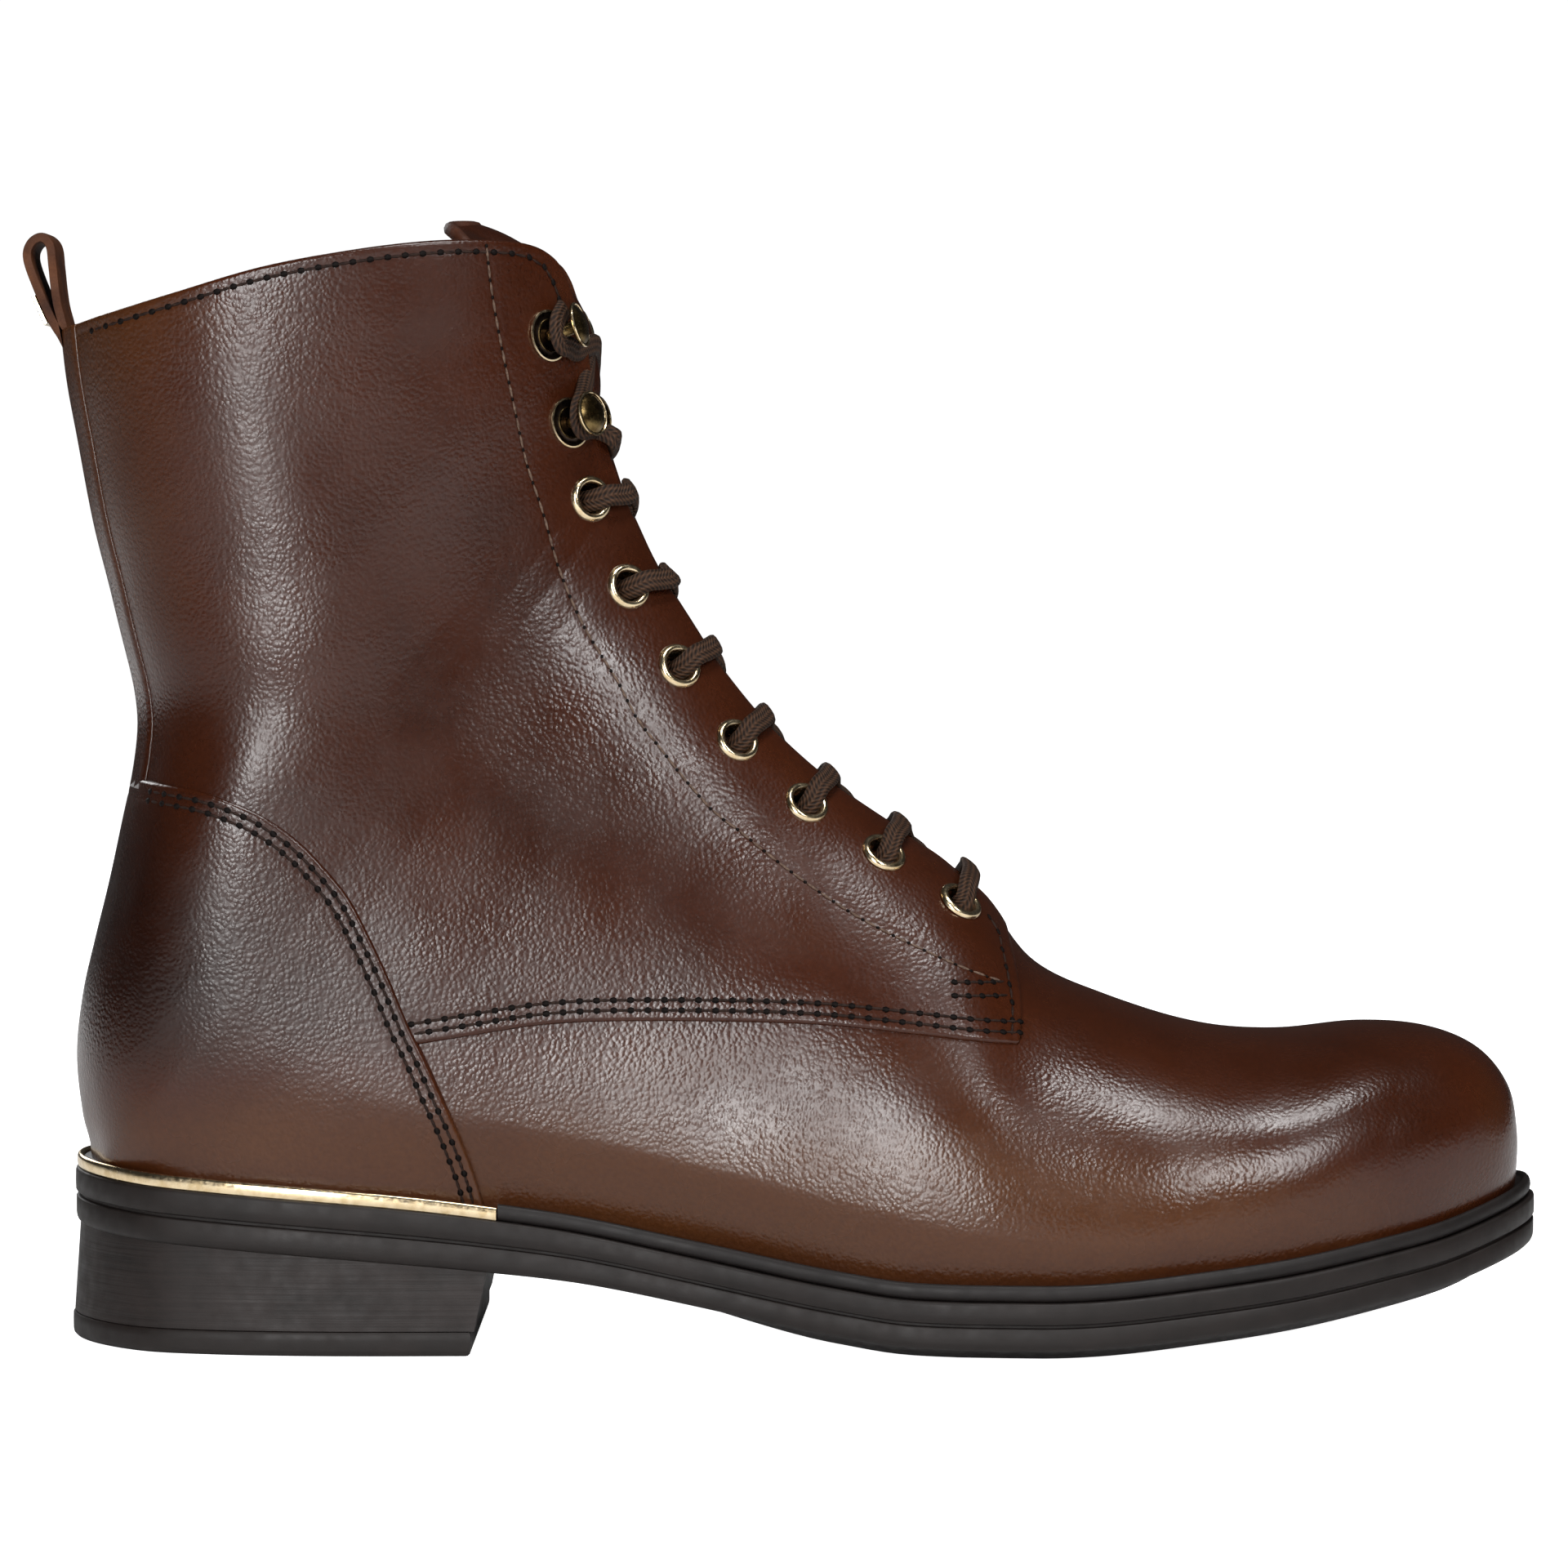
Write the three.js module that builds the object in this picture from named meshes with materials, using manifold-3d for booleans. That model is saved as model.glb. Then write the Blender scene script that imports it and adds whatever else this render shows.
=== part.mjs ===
// A women's lace-up ankle boot, right foot, size 39, standing empty on its sole.
// Millimetres. +X runs from heel to toe, +Y to the inner (medial) side, +Z up, and the floor is z = 0.
// The upper is one hollow leather shell: vamp, raised quarters, raised counter and back strip share one wall.
// Sole plate, heel block, top lift, welt, metal heel rim and insole are separate pieces below and inside it.
import * as THREE from "three";
import { mergeVertices } from "three/addons/utils/BufferGeometryUtils.js";
import Module from "manifold-3d";

const wasm = await Module();
wasm.setup();

// Driving dimensions
const soleLength = 282.5; // sole plate, heel back to toe tip
const ballWidth = 100; // sole plate at the ball
const heelEndRadius = 29; // how round the plate is behind the heel, seen from above
const toeEndRadius = 28; // how round it is at the toe
const toeShift = 4; // how far the toe tip lies towards the inner side
const plateThickness = 9.1; // sole plate at the edge, from the waist to the toe
const seatThickness = 10.6; // sole plate under the heel
const heelRise = 18.9; // how far the plate rises from ball to heel back
const toeSpring = 14.8; // how far the plate rises from ball to toe tip
const edgeLift = 3.1; // the plate's lower edge lies this far above the floor at the ball
const grooveDepth = 0.8; // the line cut round the plate's side
const collarHeight = 210; // highest place of the collar above the floor
const backHeight = 194; // collar above the floor at the back
const wall = 2; // leather and lining together
const quarterStep = 0.9; // the quarters lie this far over the vamp
const counterStep = 1.6; // the counter and the back strip lie this far over the vamp
const throatWidth = 9; // between the facings, at the lowest eyelets
const collarThroatWidth = 19; // between the facings, at the collar
const weltInset = 0.9; // the welt stands this far in from the plate's edge
const weltWidth = 1.1;
const standOff = 2.4; // the upper stands this far inside the welt, and swells out over it
const weltHeight = 3;
const rimInset = 0.3; // the metal rim stands nearer the edge than the welt
const rimWidth = 1.1;
const rimHeight = 2.3;
const breastPlace = 81; // front of the heel, from the heel back
const breastSlope = 3; // the breast leans in by this much at the floor
const heelFlare = 1.5; // the heel grows by this much down to the floor
const liftThickness = 4.6; // top lift, the piece that wears on the floor
const insoleThickness = 2.6;
const gap = 0.3; // between neighbouring pieces
const tongueThickness = 2.2;
const tongueGap = 3.2; // between the tongue and the wall over it: the lace passes there
const tongueReach = 27; // half the tongue's width
const tongueBulge = 5; // the tongue swells forward between the facings by this much
const eyeletCount = 7; // on each facing
const lacePitch = 17.5; // from one eyelet or hook to the next
const lowMargin = 12.4; // from the facing's edge to the middle of the lowest eyelet
const topMargin = 9.2; // the same at the top eyelet
const eyeletFlange = 4.4; // radius of the part that shows
const eyeletBore = 2.7;
const eyeletBarrel = 3.2;
const eyeletHeight = 0.9;
const hookBase = 4.2;
const hookHead = 3.9;
const hookStem = 1.4;
const hookReach = 6; // from the leather to the top of the head
const laceWidth = 4.2;
const laceThickness = 1.6;
const loopWidth = 13; // pull loop, along Y
const loopThickness = 2;

const LATERAL = -1;
const MEDIAL = 1;
const sides = [LATERAL, MEDIAL];

// Cubic through the rows of a table, as a function of its first column
function through(rows, key, place = "at") {
  const slope = (i) => {
    const before = rows[Math.max(i - 1, 0)];
    const after = rows[Math.min(i + 1, rows.length - 1)];
    return (after[key] - before[key]) / (after[place] - before[place]);
  };
  return (p) => {
    let i = 0;
    while (i < rows.length - 2 && p > rows[i + 1][place]) i += 1;
    const width = rows[i + 1][place] - rows[i][place];
    const t = Math.min(Math.max((p - rows[i][place]) / width, 0), 1);
    const t2 = t * t;
    const t3 = t2 * t;
    return (
      (2 * t3 - 3 * t2 + 1) * rows[i][key] +
      (t3 - 2 * t2 + t) * width * slope(i) +
      (3 * t2 - 2 * t3) * rows[i + 1][key] +
      (t3 - t2) * width * slope(i + 1)
    );
  };
}

const table = (names, ...rows) => rows.map((row) => Object.fromEntries(names.map((name, i) => [name, row[i]])));
const smooth = (low, high, value) => THREE.MathUtils.smoothstep(value, low, high);
const mix = THREE.MathUtils.lerp;

// Half widths of the sole plate, as shares of the ball width, along shares of its length
const outlineRows = table(
  ["along", "lateral", "medial"],
  [0.05, 0.26, 0.26],
  [0.1, 0.311, 0.308],
  [0.17, 0.334, 0.322],
  [0.29, 0.333, 0.299],
  [0.39, 0.346, 0.277],
  [0.46, 0.386, 0.312],
  [0.53, 0.443, 0.378],
  [0.59, 0.479, 0.431],
  [0.64, 0.498, 0.469],
  [0.69, 0.507, 0.493],
  [0.745, 0.499, 0.494],
  [0.8, 0.468, 0.471],
  [0.85, 0.42, 0.429],
  [0.905, 0.345, 0.362],
  [0.95, 0.254, 0.27],
);

const spine = (x) => toeShift * smooth(0.45 * soleLength, soleLength, x);

// The outline is x = (1 - cos) / 2 of the length and y = sin times a slowly changing fullness
const fullness = {};
for (const [side, name] of [[LATERAL, "lateral"], [MEDIAL, "medial"]]) {
  const turnOf = (along) => Math.acos(1 - 2 * along) / Math.PI;
  const endFullness = (radius) => Math.sqrt((radius * soleLength) / 2);
  const rows = outlineRows.map((row) => {
    const at = turnOf(row.along);
    return { at, full: (row[name] * ballWidth) / Math.sin(Math.PI * at) };
  });
  rows.unshift({ at: 0, full: endFullness(heelEndRadius) });
  rows.push({ at: 1, full: endFullness(toeEndRadius) });
  fullness[side] = through(rows, "full");
}

function edgePoint(side, turn) {
  const x = (soleLength * (1 - Math.cos(Math.PI * turn))) / 2;
  const y = spine(x) + side * Math.sin(Math.PI * turn) * fullness[side](turn);
  return new THREE.Vector2(x, y);
}

// A point of the plate's outline, moved in by inset; turn runs from 0 behind the heel to 1 at the toe
function outline(side, turn, inset = 0) {
  const step = 1e-3;
  const here = edgePoint(side, turn);
  if (turn < step) return new THREE.Vector2(here.x + inset, here.y);
  if (turn > 1 - step) return new THREE.Vector2(here.x - inset, here.y);
  const along = edgePoint(side, turn + step).sub(edgePoint(side, turn - step)).normalize();
  return new THREE.Vector2(here.x + side * inset * along.y, here.y - side * inset * along.x);
}

function bisect(low, high, tooLow) {
  for (let i = 0; i < 40; i += 1) {
    const middle = (low + high) / 2;
    if (tooLow(middle)) low = middle;
    else high = middle;
  }
  return (low + high) / 2;
}

const turnOfX = (side, x, inset) => bisect(0, 1, (turn) => outline(side, turn, inset).x < x);

// How far the outline lies from the spine
const halfWidth = (side, x, inset) => side * (outline(side, turnOfX(side, x, inset), inset).y - spine(x));

// Lower edge of the plate: shares of the heel rise behind the ball and of the toe spring before it
const profileRows = table(
  ["at", "heel", "toe"],
  [0, 1, 0],
  [0.14, 0.85, 0],
  [0.22, 0.755, 0],
  [0.285, 0.667, 0],
  [0.35, 0.556, 0],
  [0.42, 0.365, 0],
  [0.49, 0.17, 0],
  [0.525, 0.09, 0],
  [0.56, 0.02, 0],
  [0.6, 0, 0],
  [0.62, 0, 0],
  [0.66, 0, 0],
  [0.7, 0, 0.036],
  [0.755, 0, 0.14],
  [0.826, 0, 0.29],
  [0.89, 0, 0.486],
  [0.93, 0, 0.62],
  [0.97, 0, 0.83],
  [1, 0, 1],
);
const heelShare = through(profileRows, "heel");
const toeShare = through(profileRows, "toe");

function plateBottom(x) {
  const along = x / soleLength;
  return edgeLift + heelRise * Math.max(heelShare(along), 0) + toeSpring * Math.max(toeShare(along), 0);
}

const thicknessAt = (x) => mix(seatThickness, plateThickness, smooth(0.2, 0.42, x / soleLength));
const plateTop = (x) => plateBottom(x) + thicknessAt(x);

// The last runs on under the sole's top and over the collar, and the upper is trimmed to size there
const lastDrop = 3;
const featherInset = weltInset + weltWidth + gap + standOff;
const toeFeather = outline(LATERAL, 1, featherInset);
const backFeather = outline(LATERAL, 0, featherInset);

// The back of the last from under the sole to over the collar: x as shares of the sole length
const backRows = table(
  ["at", "x"],
  [0, backFeather.x / soleLength],
  [0.045, 0.0152],
  [0.08, 0.0102],
  [0.15, 0.0064],
  [0.22, 0.0108],
  [0.28, 0.0188],
  [0.35, 0.029],
  [0.42, 0.038],
  [0.48, 0.0455],
  [0.53, 0.0488],
  [0.57, 0.0472],
  [0.62, 0.0415],
  [0.69, 0.032],
  [0.77, 0.0203],
  [0.87, 0.0095],
  [0.95, 0.0015],
  [1.1, -0.0065],
  [1.3, -0.0185],
);
const backX = through(backRows, "x");

const heelFoot = plateTop(backFeather.x) + gap - lastDrop;
const backLine = (z) => backX((z - heelFoot) / (backHeight - heelFoot)) * soleLength;

// A point of the last's lower and rear boundary: travel 0 at the toe, 1 at the heel back, 2 at the back of the collar
function boundary(travel) {
  if (travel > 1) {
    const z = mix(heelFoot, backHeight, travel - 1);
    return new THREE.Vector2(backLine(z), z);
  }
  const x = mix(toeFeather.x, backFeather.x, travel);
  return new THREE.Vector2(x, plateTop(x) + gap - lastDrop);
}

// Sections of the last from the toe to the collar, each a plane across the boot from the boundary to the crest:
// travel along the boundary; the crest's x as a share of the sole length and its z as a share of the collar height;
// half widths as shares of the ball width; the height of the widest place as a share of the section's height; and
// the fullness of the arch over it, 2 being an ellipse.
const sectionColumns = ["travel", "crestX", "crestZ", "lateral", "medial", "widest", "arch"];
const sectionRows = table(
  sectionColumns,
  [0, boundary(0).x / soleLength, boundary(0).y / collarHeight, 0, 0, 0.38, 2.2],
  [0.008, 0.987, 0.156, 0.072, 0.072, 0.42, 2.25],
  [0.026, 0.9865, 0.195, 0.14, 0.14, 0.38, 2.3],
  [0.052, 0.98, 0.231, 0.21, 0.212, 0.35, 2.3],
  [0.086, 0.96, 0.262, 0.283, 0.286, 0.33, 2.3],
  [0.126, 0.926, 0.28, 0.35, 0.352, 0.31, 2.25],
  [0.17, 0.881, 0.2845, 0.408, 0.41, 0.29, 2.2],
  [0.22, 0.824, 0.278, 0.448, 0.443, 0.28, 2.12],
  [0.272, 0.765, 0.285, 0.478, 0.468, 0.27, 2.05],
  [0.325, 0.707, 0.309, 0.481, 0.463, 0.26, 2],
  [0.38, 0.655, 0.343, 0.472, 0.445, 0.25, 1.95],
  [0.44, 0.617, 0.408, 0.448, 0.412, 0.24, 1.9],
  [0.505, 0.569, 0.458, 0.412, 0.372, 0.23, 1.88],
  [0.575, 0.52, 0.505, 0.375, 0.338, 0.22, 1.88],
  [0.65, 0.479, 0.555, 0.349, 0.322, 0.21, 1.9],
  [0.73, 0.446, 0.61, 0.332, 0.316, 0.2, 1.92],
  [0.81, 0.4215, 0.664, 0.322, 0.314, 0.19, 1.94],
  [0.885, 0.401, 0.713, 0.316, 0.312, 0.19, 1.96],
  [0.945, 0.388, 0.753, 0.31, 0.308, 0.24, 1.98],
  [1, 0.379, 0.785, 0.308, 0.306, 0.28, 2],
  [1.08, 0.3725, 0.813, 0.307, 0.305, 0.31, 2],
  [1.17, 0.3675, 0.84, 0.306, 0.304, 0.34, 2],
  [1.27, 0.3635, 0.864, 0.306, 0.304, 0.36, 2],
  [1.38, 0.36, 0.886, 0.305, 0.303, 0.4, 2],
  [1.5, 0.357, 0.91, 0.308, 0.306, 0.43, 2],
  [1.62, 0.354, 0.934, 0.315, 0.312, 0.45, 2.02],
  [1.74, 0.351, 0.957, 0.323, 0.32, 0.47, 2.04],
  [1.86, 0.348, 0.98, 0.331, 0.328, 0.48, 2.06],
  [1.97, 0.3455, 1.002, 0.337, 0.334, 0.49, 2.08],
  [2.08, 0.343, 1.024, 0.342, 0.34, 0.5, 2.1],
  [2.22, 0.3395, 1.065, 0.347, 0.345, 0.5, 2.1],
).map((row, at) => ({ at, ...row }));
const lastRow = sectionRows.length - 1;
const column = Object.fromEntries(sectionColumns.map((name) => [name, through(sectionRows, name)]));

function section(row) {
  const low = boundary(column.travel(row));
  const high = new THREE.Vector2(column.crestX(row) * soleLength, column.crestZ(row) * collarHeight);
  return {
    travel: column.travel(row),
    low,
    along: high.clone().sub(low),
    crest: spine(high.x),
    [LATERAL]: column.lateral(row) * ballWidth,
    [MEDIAL]: column.medial(row) * ballWidth,
    widest: column.widest(row),
    arch: column.arch(row),
  };
}

// Half width that the sole's outline gives a section at a share of its height; the heel's outline is carried up along
// the back of the last
function outlineWidth(s, side, up) {
  if (s.travel === 0 || (s.travel >= 1 && up === 0)) return 0;
  const x = s.low.x + s.along.x * up;
  const behind = backFeather.x + x - backLine(s.low.y + s.along.y * up);
  const place = mix(s.low.x, behind, smooth(0.55, 0.85, s.travel));
  return Math.max(halfWidth(side, place, featherInset), 0);
}

// A point of the last's surface; t runs from 0 at the boundary over the widest place to 1 at the crest
const widestAt = 0.36;
function lastPoint(row, side, t) {
  const s = section(row);
  const middle = spine(s.low.x);
  const reach = Math.max(s[side], outlineWidth(s, side, s.widest));
  let y;
  let up;
  if (t < widestAt) {
    const share = t / widestAt;
    const round = smooth(0.93, 1, s.travel);
    up = s.widest * mix(share, 1 - Math.cos((share * Math.PI) / 2), round);
    y = middle + side * mix(outlineWidth(s, side, up), reach, smooth(0.15, 1, share));
  } else {
    const turn = (((t - widestAt) / (1 - widestAt)) * Math.PI) / 2;
    const power = 2 / s.arch;
    up = s.widest + (1 - s.widest) * Math.sin(turn) ** power;
    y = mix(s.crest, middle + side * reach, Math.max(Math.cos(turn), 0) ** power);
  }
  return new THREE.Vector3(s.low.x + s.along.x * up, y, s.low.y + s.along.y * up);
}

function lastNormal(row, side, t) {
  if (row === 0) return new THREE.Vector3(1, 0, 0);
  const rowStep = 0.05;
  const turnStep = 0.005;
  const before = lastPoint(Math.max(row - rowStep, 0), side, t);
  const after = lastPoint(Math.min(row + rowStep, lastRow), side, t);
  const rising = after.sub(before);
  // On the middle plane both sides share one normal
  if (t === 1) return new THREE.Vector3(rising.z, 0, -rising.x).normalize();
  if (t === 0 && column.travel(row) >= 1) return new THREE.Vector3(-rising.z, 0, rising.x).normalize();
  const lower = lastPoint(row, side, Math.max(t - turnStep, 0));
  const upper = lastPoint(row, side, Math.min(t + turnStep, 1));
  return upper.sub(lower).cross(rising).multiplyScalar(-side).normalize();
}

// The last's surface moved outwards; with a negative distance, inwards
const surface = (row, side, t, out) => lastPoint(row, side, t).addScaledVector(lastNormal(row, side, t), out);

// Meshes from grids of points
function geometryOf(triangles) {
  const positions = triangles.flat().flatMap((point) => point.toArray());
  const geometry = new THREE.BufferGeometry();
  geometry.setAttribute("position", new THREE.Float32BufferAttribute(positions, 3));
  return geometry;
}

const quad = (a, b, c, d) => [[a, b, c], [a, c, d]];

// Faces between rows of equally many points; the rows run counterclockwise seen against the way they are stacked
function skin(rows, closed) {
  const triangles = [];
  const count = rows[0].length;
  const last = closed ? count : count - 1;
  for (let i = 0; i + 1 < rows.length; i += 1) {
    for (let k = 0; k < last; k += 1) {
      const next = (k + 1) % count;
      triangles.push(...quad(rows[i][k], rows[i][next], rows[i + 1][next], rows[i + 1][k]));
    }
  }
  return triangles;
}

// Fills a row whose first half mirrors its second half
function across(row, turned) {
  const triangles = [];
  for (let i = 0, j = row.length - 1; i + 1 < j; i += 1, j -= 1) {
    const [a, b, c, d] = [row[i], row[i + 1], row[j - 1], row[j]];
    triangles.push(...(turned ? quad(a, d, c, b) : quad(a, b, c, d)));
  }
  return triangles;
}

// Closed rings of points, stacked and filled at both ends
const stack = (rings) => [...skin(rings, true), ...across(rings[0], true), ...across(rings.at(-1), false)];

function solidOf(geometry) {
  const plain = geometry.clone();
  plain.deleteAttribute("normal");
  plain.deleteAttribute("uv");
  const merged = mergeVertices(plain, 1e-4);
  const corners = merged.index.array;
  const kept = [];
  for (let i = 0; i < corners.length; i += 3) {
    const [a, b, c] = corners.slice(i, i + 3);
    if (a !== b && b !== c && c !== a) kept.push(a, b, c);
  }
  const mesh = new wasm.Mesh({
    numProp: 3,
    vertProperties: merged.attributes.position.array,
    triVerts: new Uint32Array(kept),
  });
  return new wasm.Manifold(mesh);
}

const solidFrom = (triangles) => solidOf(geometryOf(triangles));

function geometryFrom(solid) {
  const mesh = solid.getMesh();
  const geometry = new THREE.BufferGeometry();
  geometry.setAttribute("position", new THREE.BufferAttribute(mesh.vertProperties, mesh.numProp));
  geometry.setIndex(new THREE.BufferAttribute(mesh.triVerts, 1));
  return geometry;
}

const root = new THREE.Group();

function add(name, solid, material) {
  const mesh = new THREE.Mesh(geometryFrom(solid), material);
  mesh.geometry.computeVertexNormals();
  mesh.name = name;
  root.add(mesh);
}

const material = (color, roughness, metalness = 0) =>
  new THREE.MeshStandardMaterial({ color, roughness, metalness, flatShading: true });
const leather = material(0x6b3d22, 0.5);
const lining = material(0x9c6a55, 0.8);
const soleRubber = material(0x3a302b, 0.7);
const weltLeather = material(0x4a342a, 0.6);
const goldMetal = material(0xc9a86a, 0.35, 1);
const laceCord = material(0x3b2418, 0.9);

// Sole parts

const outlineTurns = 30;
const turnAt = (i) => i / outlineTurns;

// A ring of points round the plate's outline, with its height as a function of x
function outlineRing(inset, height) {
  const ring = [];
  for (let i = 0; i <= outlineTurns; i += 1) {
    const p = outline(LATERAL, turnAt(i), inset);
    ring.push(new THREE.Vector3(p.x, p.y, height(p.x)));
  }
  for (let i = outlineTurns; i >= 0; i -= 1) {
    const p = outline(MEDIAL, turnAt(i), inset);
    ring.push(new THREE.Vector3(p.x, p.y, height(p.x)));
  }
  return ring;
}

const ballFlatInset = 13; // under the ball the sole is flat inside this edge
const crownAt = (x) => edgeLift * smooth(0.36, 0.52, x / soleLength);

// Side of the plate: inset and height as a share of the thickness, from the bottom up
const plateSideRows = table(
  ["inset", "share"],
  [1.2, 0],
  [0.3, 0.05],
  [0, 0.16],
  [0, 0.46],
  [grooveDepth, 0.49],
  [grooveDepth, 0.55],
  [0, 0.58],
  [0, 0.94],
  [0.6, 1],
);

function buildPlate() {
  const rings = [outlineRing(ballFlatInset, (x) => plateBottom(x) - crownAt(x))];
  for (const { inset, share } of plateSideRows) {
    rings.push(outlineRing(inset, (x) => mix(plateBottom(x), plateTop(x), share)));
  }
  return solidFrom(stack(rings));
}

// Stations round one end of the outline, as [side, turn]: from the outer side over the toe, or from the inner side
// round the heel
function stationsRound(end, startX, count) {
  const path = [];
  for (let i = 0; i <= count; i += 1) path.push([LATERAL, i]);
  for (let i = count - 1; i >= 0; i -= 1) path.push([MEDIAL, i]);
  const stations = path.map(([side, i]) => [side, mix(turnOfX(side, startX, 0), end, i / count)]);
  return end === 0 ? stations.reverse() : stations;
}

// A strip that runs round one end of the plate, on top of it; the profile's points are [inset, rise]
function edgeStrip(end, startX, count, profile) {
  const rings = stationsRound(end, startX, count).map(([side, turn]) =>
    profile.map(([inset, rise]) => {
      const p = outline(side, turn, inset);
      return new THREE.Vector3(p.x, p.y, plateTop(edgePoint(side, turn).x) + gap + rise);
    }),
  );
  return solidFrom(stack(rings));
}

const stripEnd = breastPlace + 1.8; // where the welt and the metal rim meet, from the heel back

function buildWelt() {
  const inner = weltInset + weltWidth;
  return edgeStrip(1, stripEnd + gap, 18, [
    [weltInset, 0],
    [inner, 0],
    [inner, weltHeight],
    [weltInset + 0.35 * weltWidth, weltHeight],
    [weltInset, 0.7 * weltHeight],
  ]);
}

function buildRim() {
  const inner = rimInset + rimWidth;
  return edgeStrip(0, stripEnd, 14, [
    [rimInset, 0],
    [inner, 0],
    [inner, rimHeight],
    [rimInset + 0.3 * rimWidth, rimHeight],
    [rimInset, 0.7 * rimHeight],
  ]);
}

// A ring round the heel, closed by the straight breast
function heelRing(inset, frontX, height) {
  const count = 13;
  return stationsRound(0, frontX, count).map(([side, turn]) => {
    const p = outline(side, turn, inset);
    return new THREE.Vector3(p.x, p.y, height(p.x));
  });
}

const heelInset = 0.8;
const heelInsetAt = (share) => heelInset - heelFlare * share;
const breastAt = (share) => breastPlace - breastSlope * share;

function buildHeelBlock() {
  const shares = [0, 0.35, 0.7, 1];
  const foot = liftThickness + gap;
  const rings = shares.map((share) =>
    heelRing(heelInsetAt(0.8 * share), breastAt(0.8 * share), (x) => mix(plateBottom(x) - gap, foot, share)),
  );
  return solidFrom(stack(rings.reverse()));
}

function buildTopLift() {
  const chamfer = 0.7;
  return solidFrom(
    stack([
      heelRing(heelInsetAt(1) + chamfer, breastAt(1) - chamfer, () => 0),
      heelRing(heelInsetAt(1), breastAt(1), () => chamfer),
      heelRing(heelInsetAt(0.8), breastAt(0.85), () => liftThickness),
    ]),
  );
}

// Upper

// Rows and turns at which the last is meshed
const toeRows = [0, 0.5, 1, 1.6, 2.3];
const shaftRow = 22; // from here up every other section is enough
const seatRows = [18.35, 18.65, 18.85, 19.4]; // round the heel
const meshRows = [
  ...toeRows,
  ...seatRows,
  ...sectionRows.map((row) => row.at).filter((at) => at > toeRows.at(-1) && (at < shaftRow || at % 2 === 0)),
].sort((a, b) => a - b);
const meshTurns = [0, 0.08, 0.19, 0.31, 0.42, 0.53, 0.63, 0.72, 0.81, 0.9, 1];
const heelRow = sectionRows.findIndex((row) => row.travel === 1);

// The last as a closed body, moved outwards, or inwards by a negative distance
function lastBody(out) {
  const rows = meshRows.map((row) => [
    ...meshTurns.map((t) => surface(row, LATERAL, t, out)),
    ...meshTurns.slice(0, -1).reverse().map((t) => surface(row, MEDIAL, t, out)),
  ]);
  const soleRows = rows.slice(0, meshRows.indexOf(heelRow) + 1);
  const under = [];
  for (let i = 0; i + 1 < soleRows.length; i += 1) {
    under.push(...quad(soleRows[i][0], soleRows[i + 1][0], soleRows[i + 1].at(-1), soleRows[i].at(-1)));
  }
  return solidFrom([...skin(rows, false), ...under, ...across(rows.at(-1), false)]);
}

// The insole fills the seat inside the upper
function buildInsole() {
  const inset = featherInset + wall + 2 * gap;
  const under = (x) => plateTop(x) + gap;
  return solidFrom(stack([outlineRing(inset, under), outlineRing(inset, (x) => under(x) + insoleThickness)]));
}

// A prism through the whole width of the boot over an outline in the side view, its corners [x, z]
function sidePrism(corners) {
  const shape = new THREE.Shape(corners.map(([x, z]) => new THREE.Vector2(x, z)));
  const geometry = new THREE.ExtrudeGeometry(shape, { depth: 2 * ballWidth, bevelEnabled: false });
  geometry.rotateX(Math.PI / 2);
  geometry.translate(0, ballWidth, 0);
  return solidOf(geometry);
}

// Outlines in the side view: x as shares of the sole length, z as shares of the collar height
const inSideView = (rows) => rows.map(([x, z]) => [x * soleLength, z * collarHeight]);
const beyond = 1.2; // shares outside the boot

// The collar rises from its back to its highest place, and drops again to the facings: x as shares of the sole length,
// the height as shares of that rise
const collarLine = [
  [-beyond, -0.1],
  [-0.012, -0.05],
  [0.03, 0.094],
  [0.08, 0.331],
  [0.14, 0.632],
  [0.2, 0.829],
  [0.255, 0.947],
  [0.3, 0.96],
  [0.322, 0.908],
  [0.334, 0.724],
  [0.341, 0.475],
  [0.346, 0.226],
  [beyond, 0.226],
].map(([x, share]) => [x * soleLength, mix(backHeight, collarHeight, share)]);

const quarterEdge = inSideView([
  [-beyond, beyond],
  [beyond, beyond],
  [beyond, 0.46],
  [0.6, 0.42],
  [0.619, 0.4],
  [0.632, 0.38],
  [0.637, 0.362],
  [0.641, 0.335],
  [0.642, 0.305],
  [0.638, 0.28],
  [0.58, 0.291],
  [0.5, 0.299],
  [0.4, 0.301],
  [0.33, 0.298],
  [0.27, 0.286],
  [0.22, 0.28],
  [-beyond, 0.28],
]);

const counterEdge = inSideView([
  [-beyond, 0.514],
  [0.04, 0.513],
  [0.09, 0.507],
  [0.117, 0.497],
  [0.14, 0.483],
  [0.162, 0.462],
  [0.18, 0.437],
  [0.196, 0.41],
  [0.209, 0.377],
  [0.222, 0.34],
  [0.235, 0.298],
  [0.246, 0.268],
  [0.257, 0.235],
  [0.27, 0.195],
  [0.283, 0.14],
  [0.289, 0.06],
  [-beyond, 0.06],
]);

const soleLine = () => {
  const corners = [];
  const count = 36;
  for (let i = 0; i <= count; i += 1) {
    const x = (soleLength * i) / count;
    corners.push([x, plateTop(x) + gap]);
  }
  return [[-soleLength, corners[0][1]], ...corners, [2 * soleLength, corners.at(-1)[1]]];
};

// The back strip covers the last from the counter up to the collar, this far forward of its back
const backStripDepth = 3.6;
function backStripEdge() {
  const corners = [];
  const count = 14;
  for (let i = 0; i <= count; i += 1) {
    const travel = mix(1.4, 2.08, i / count);
    const p = boundary(travel);
    corners.push([p.x + backStripDepth, p.y]);
  }
  return [[-soleLength, corners[0][1]], ...corners, [-soleLength, corners.at(-1)[1]]];
}

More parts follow.
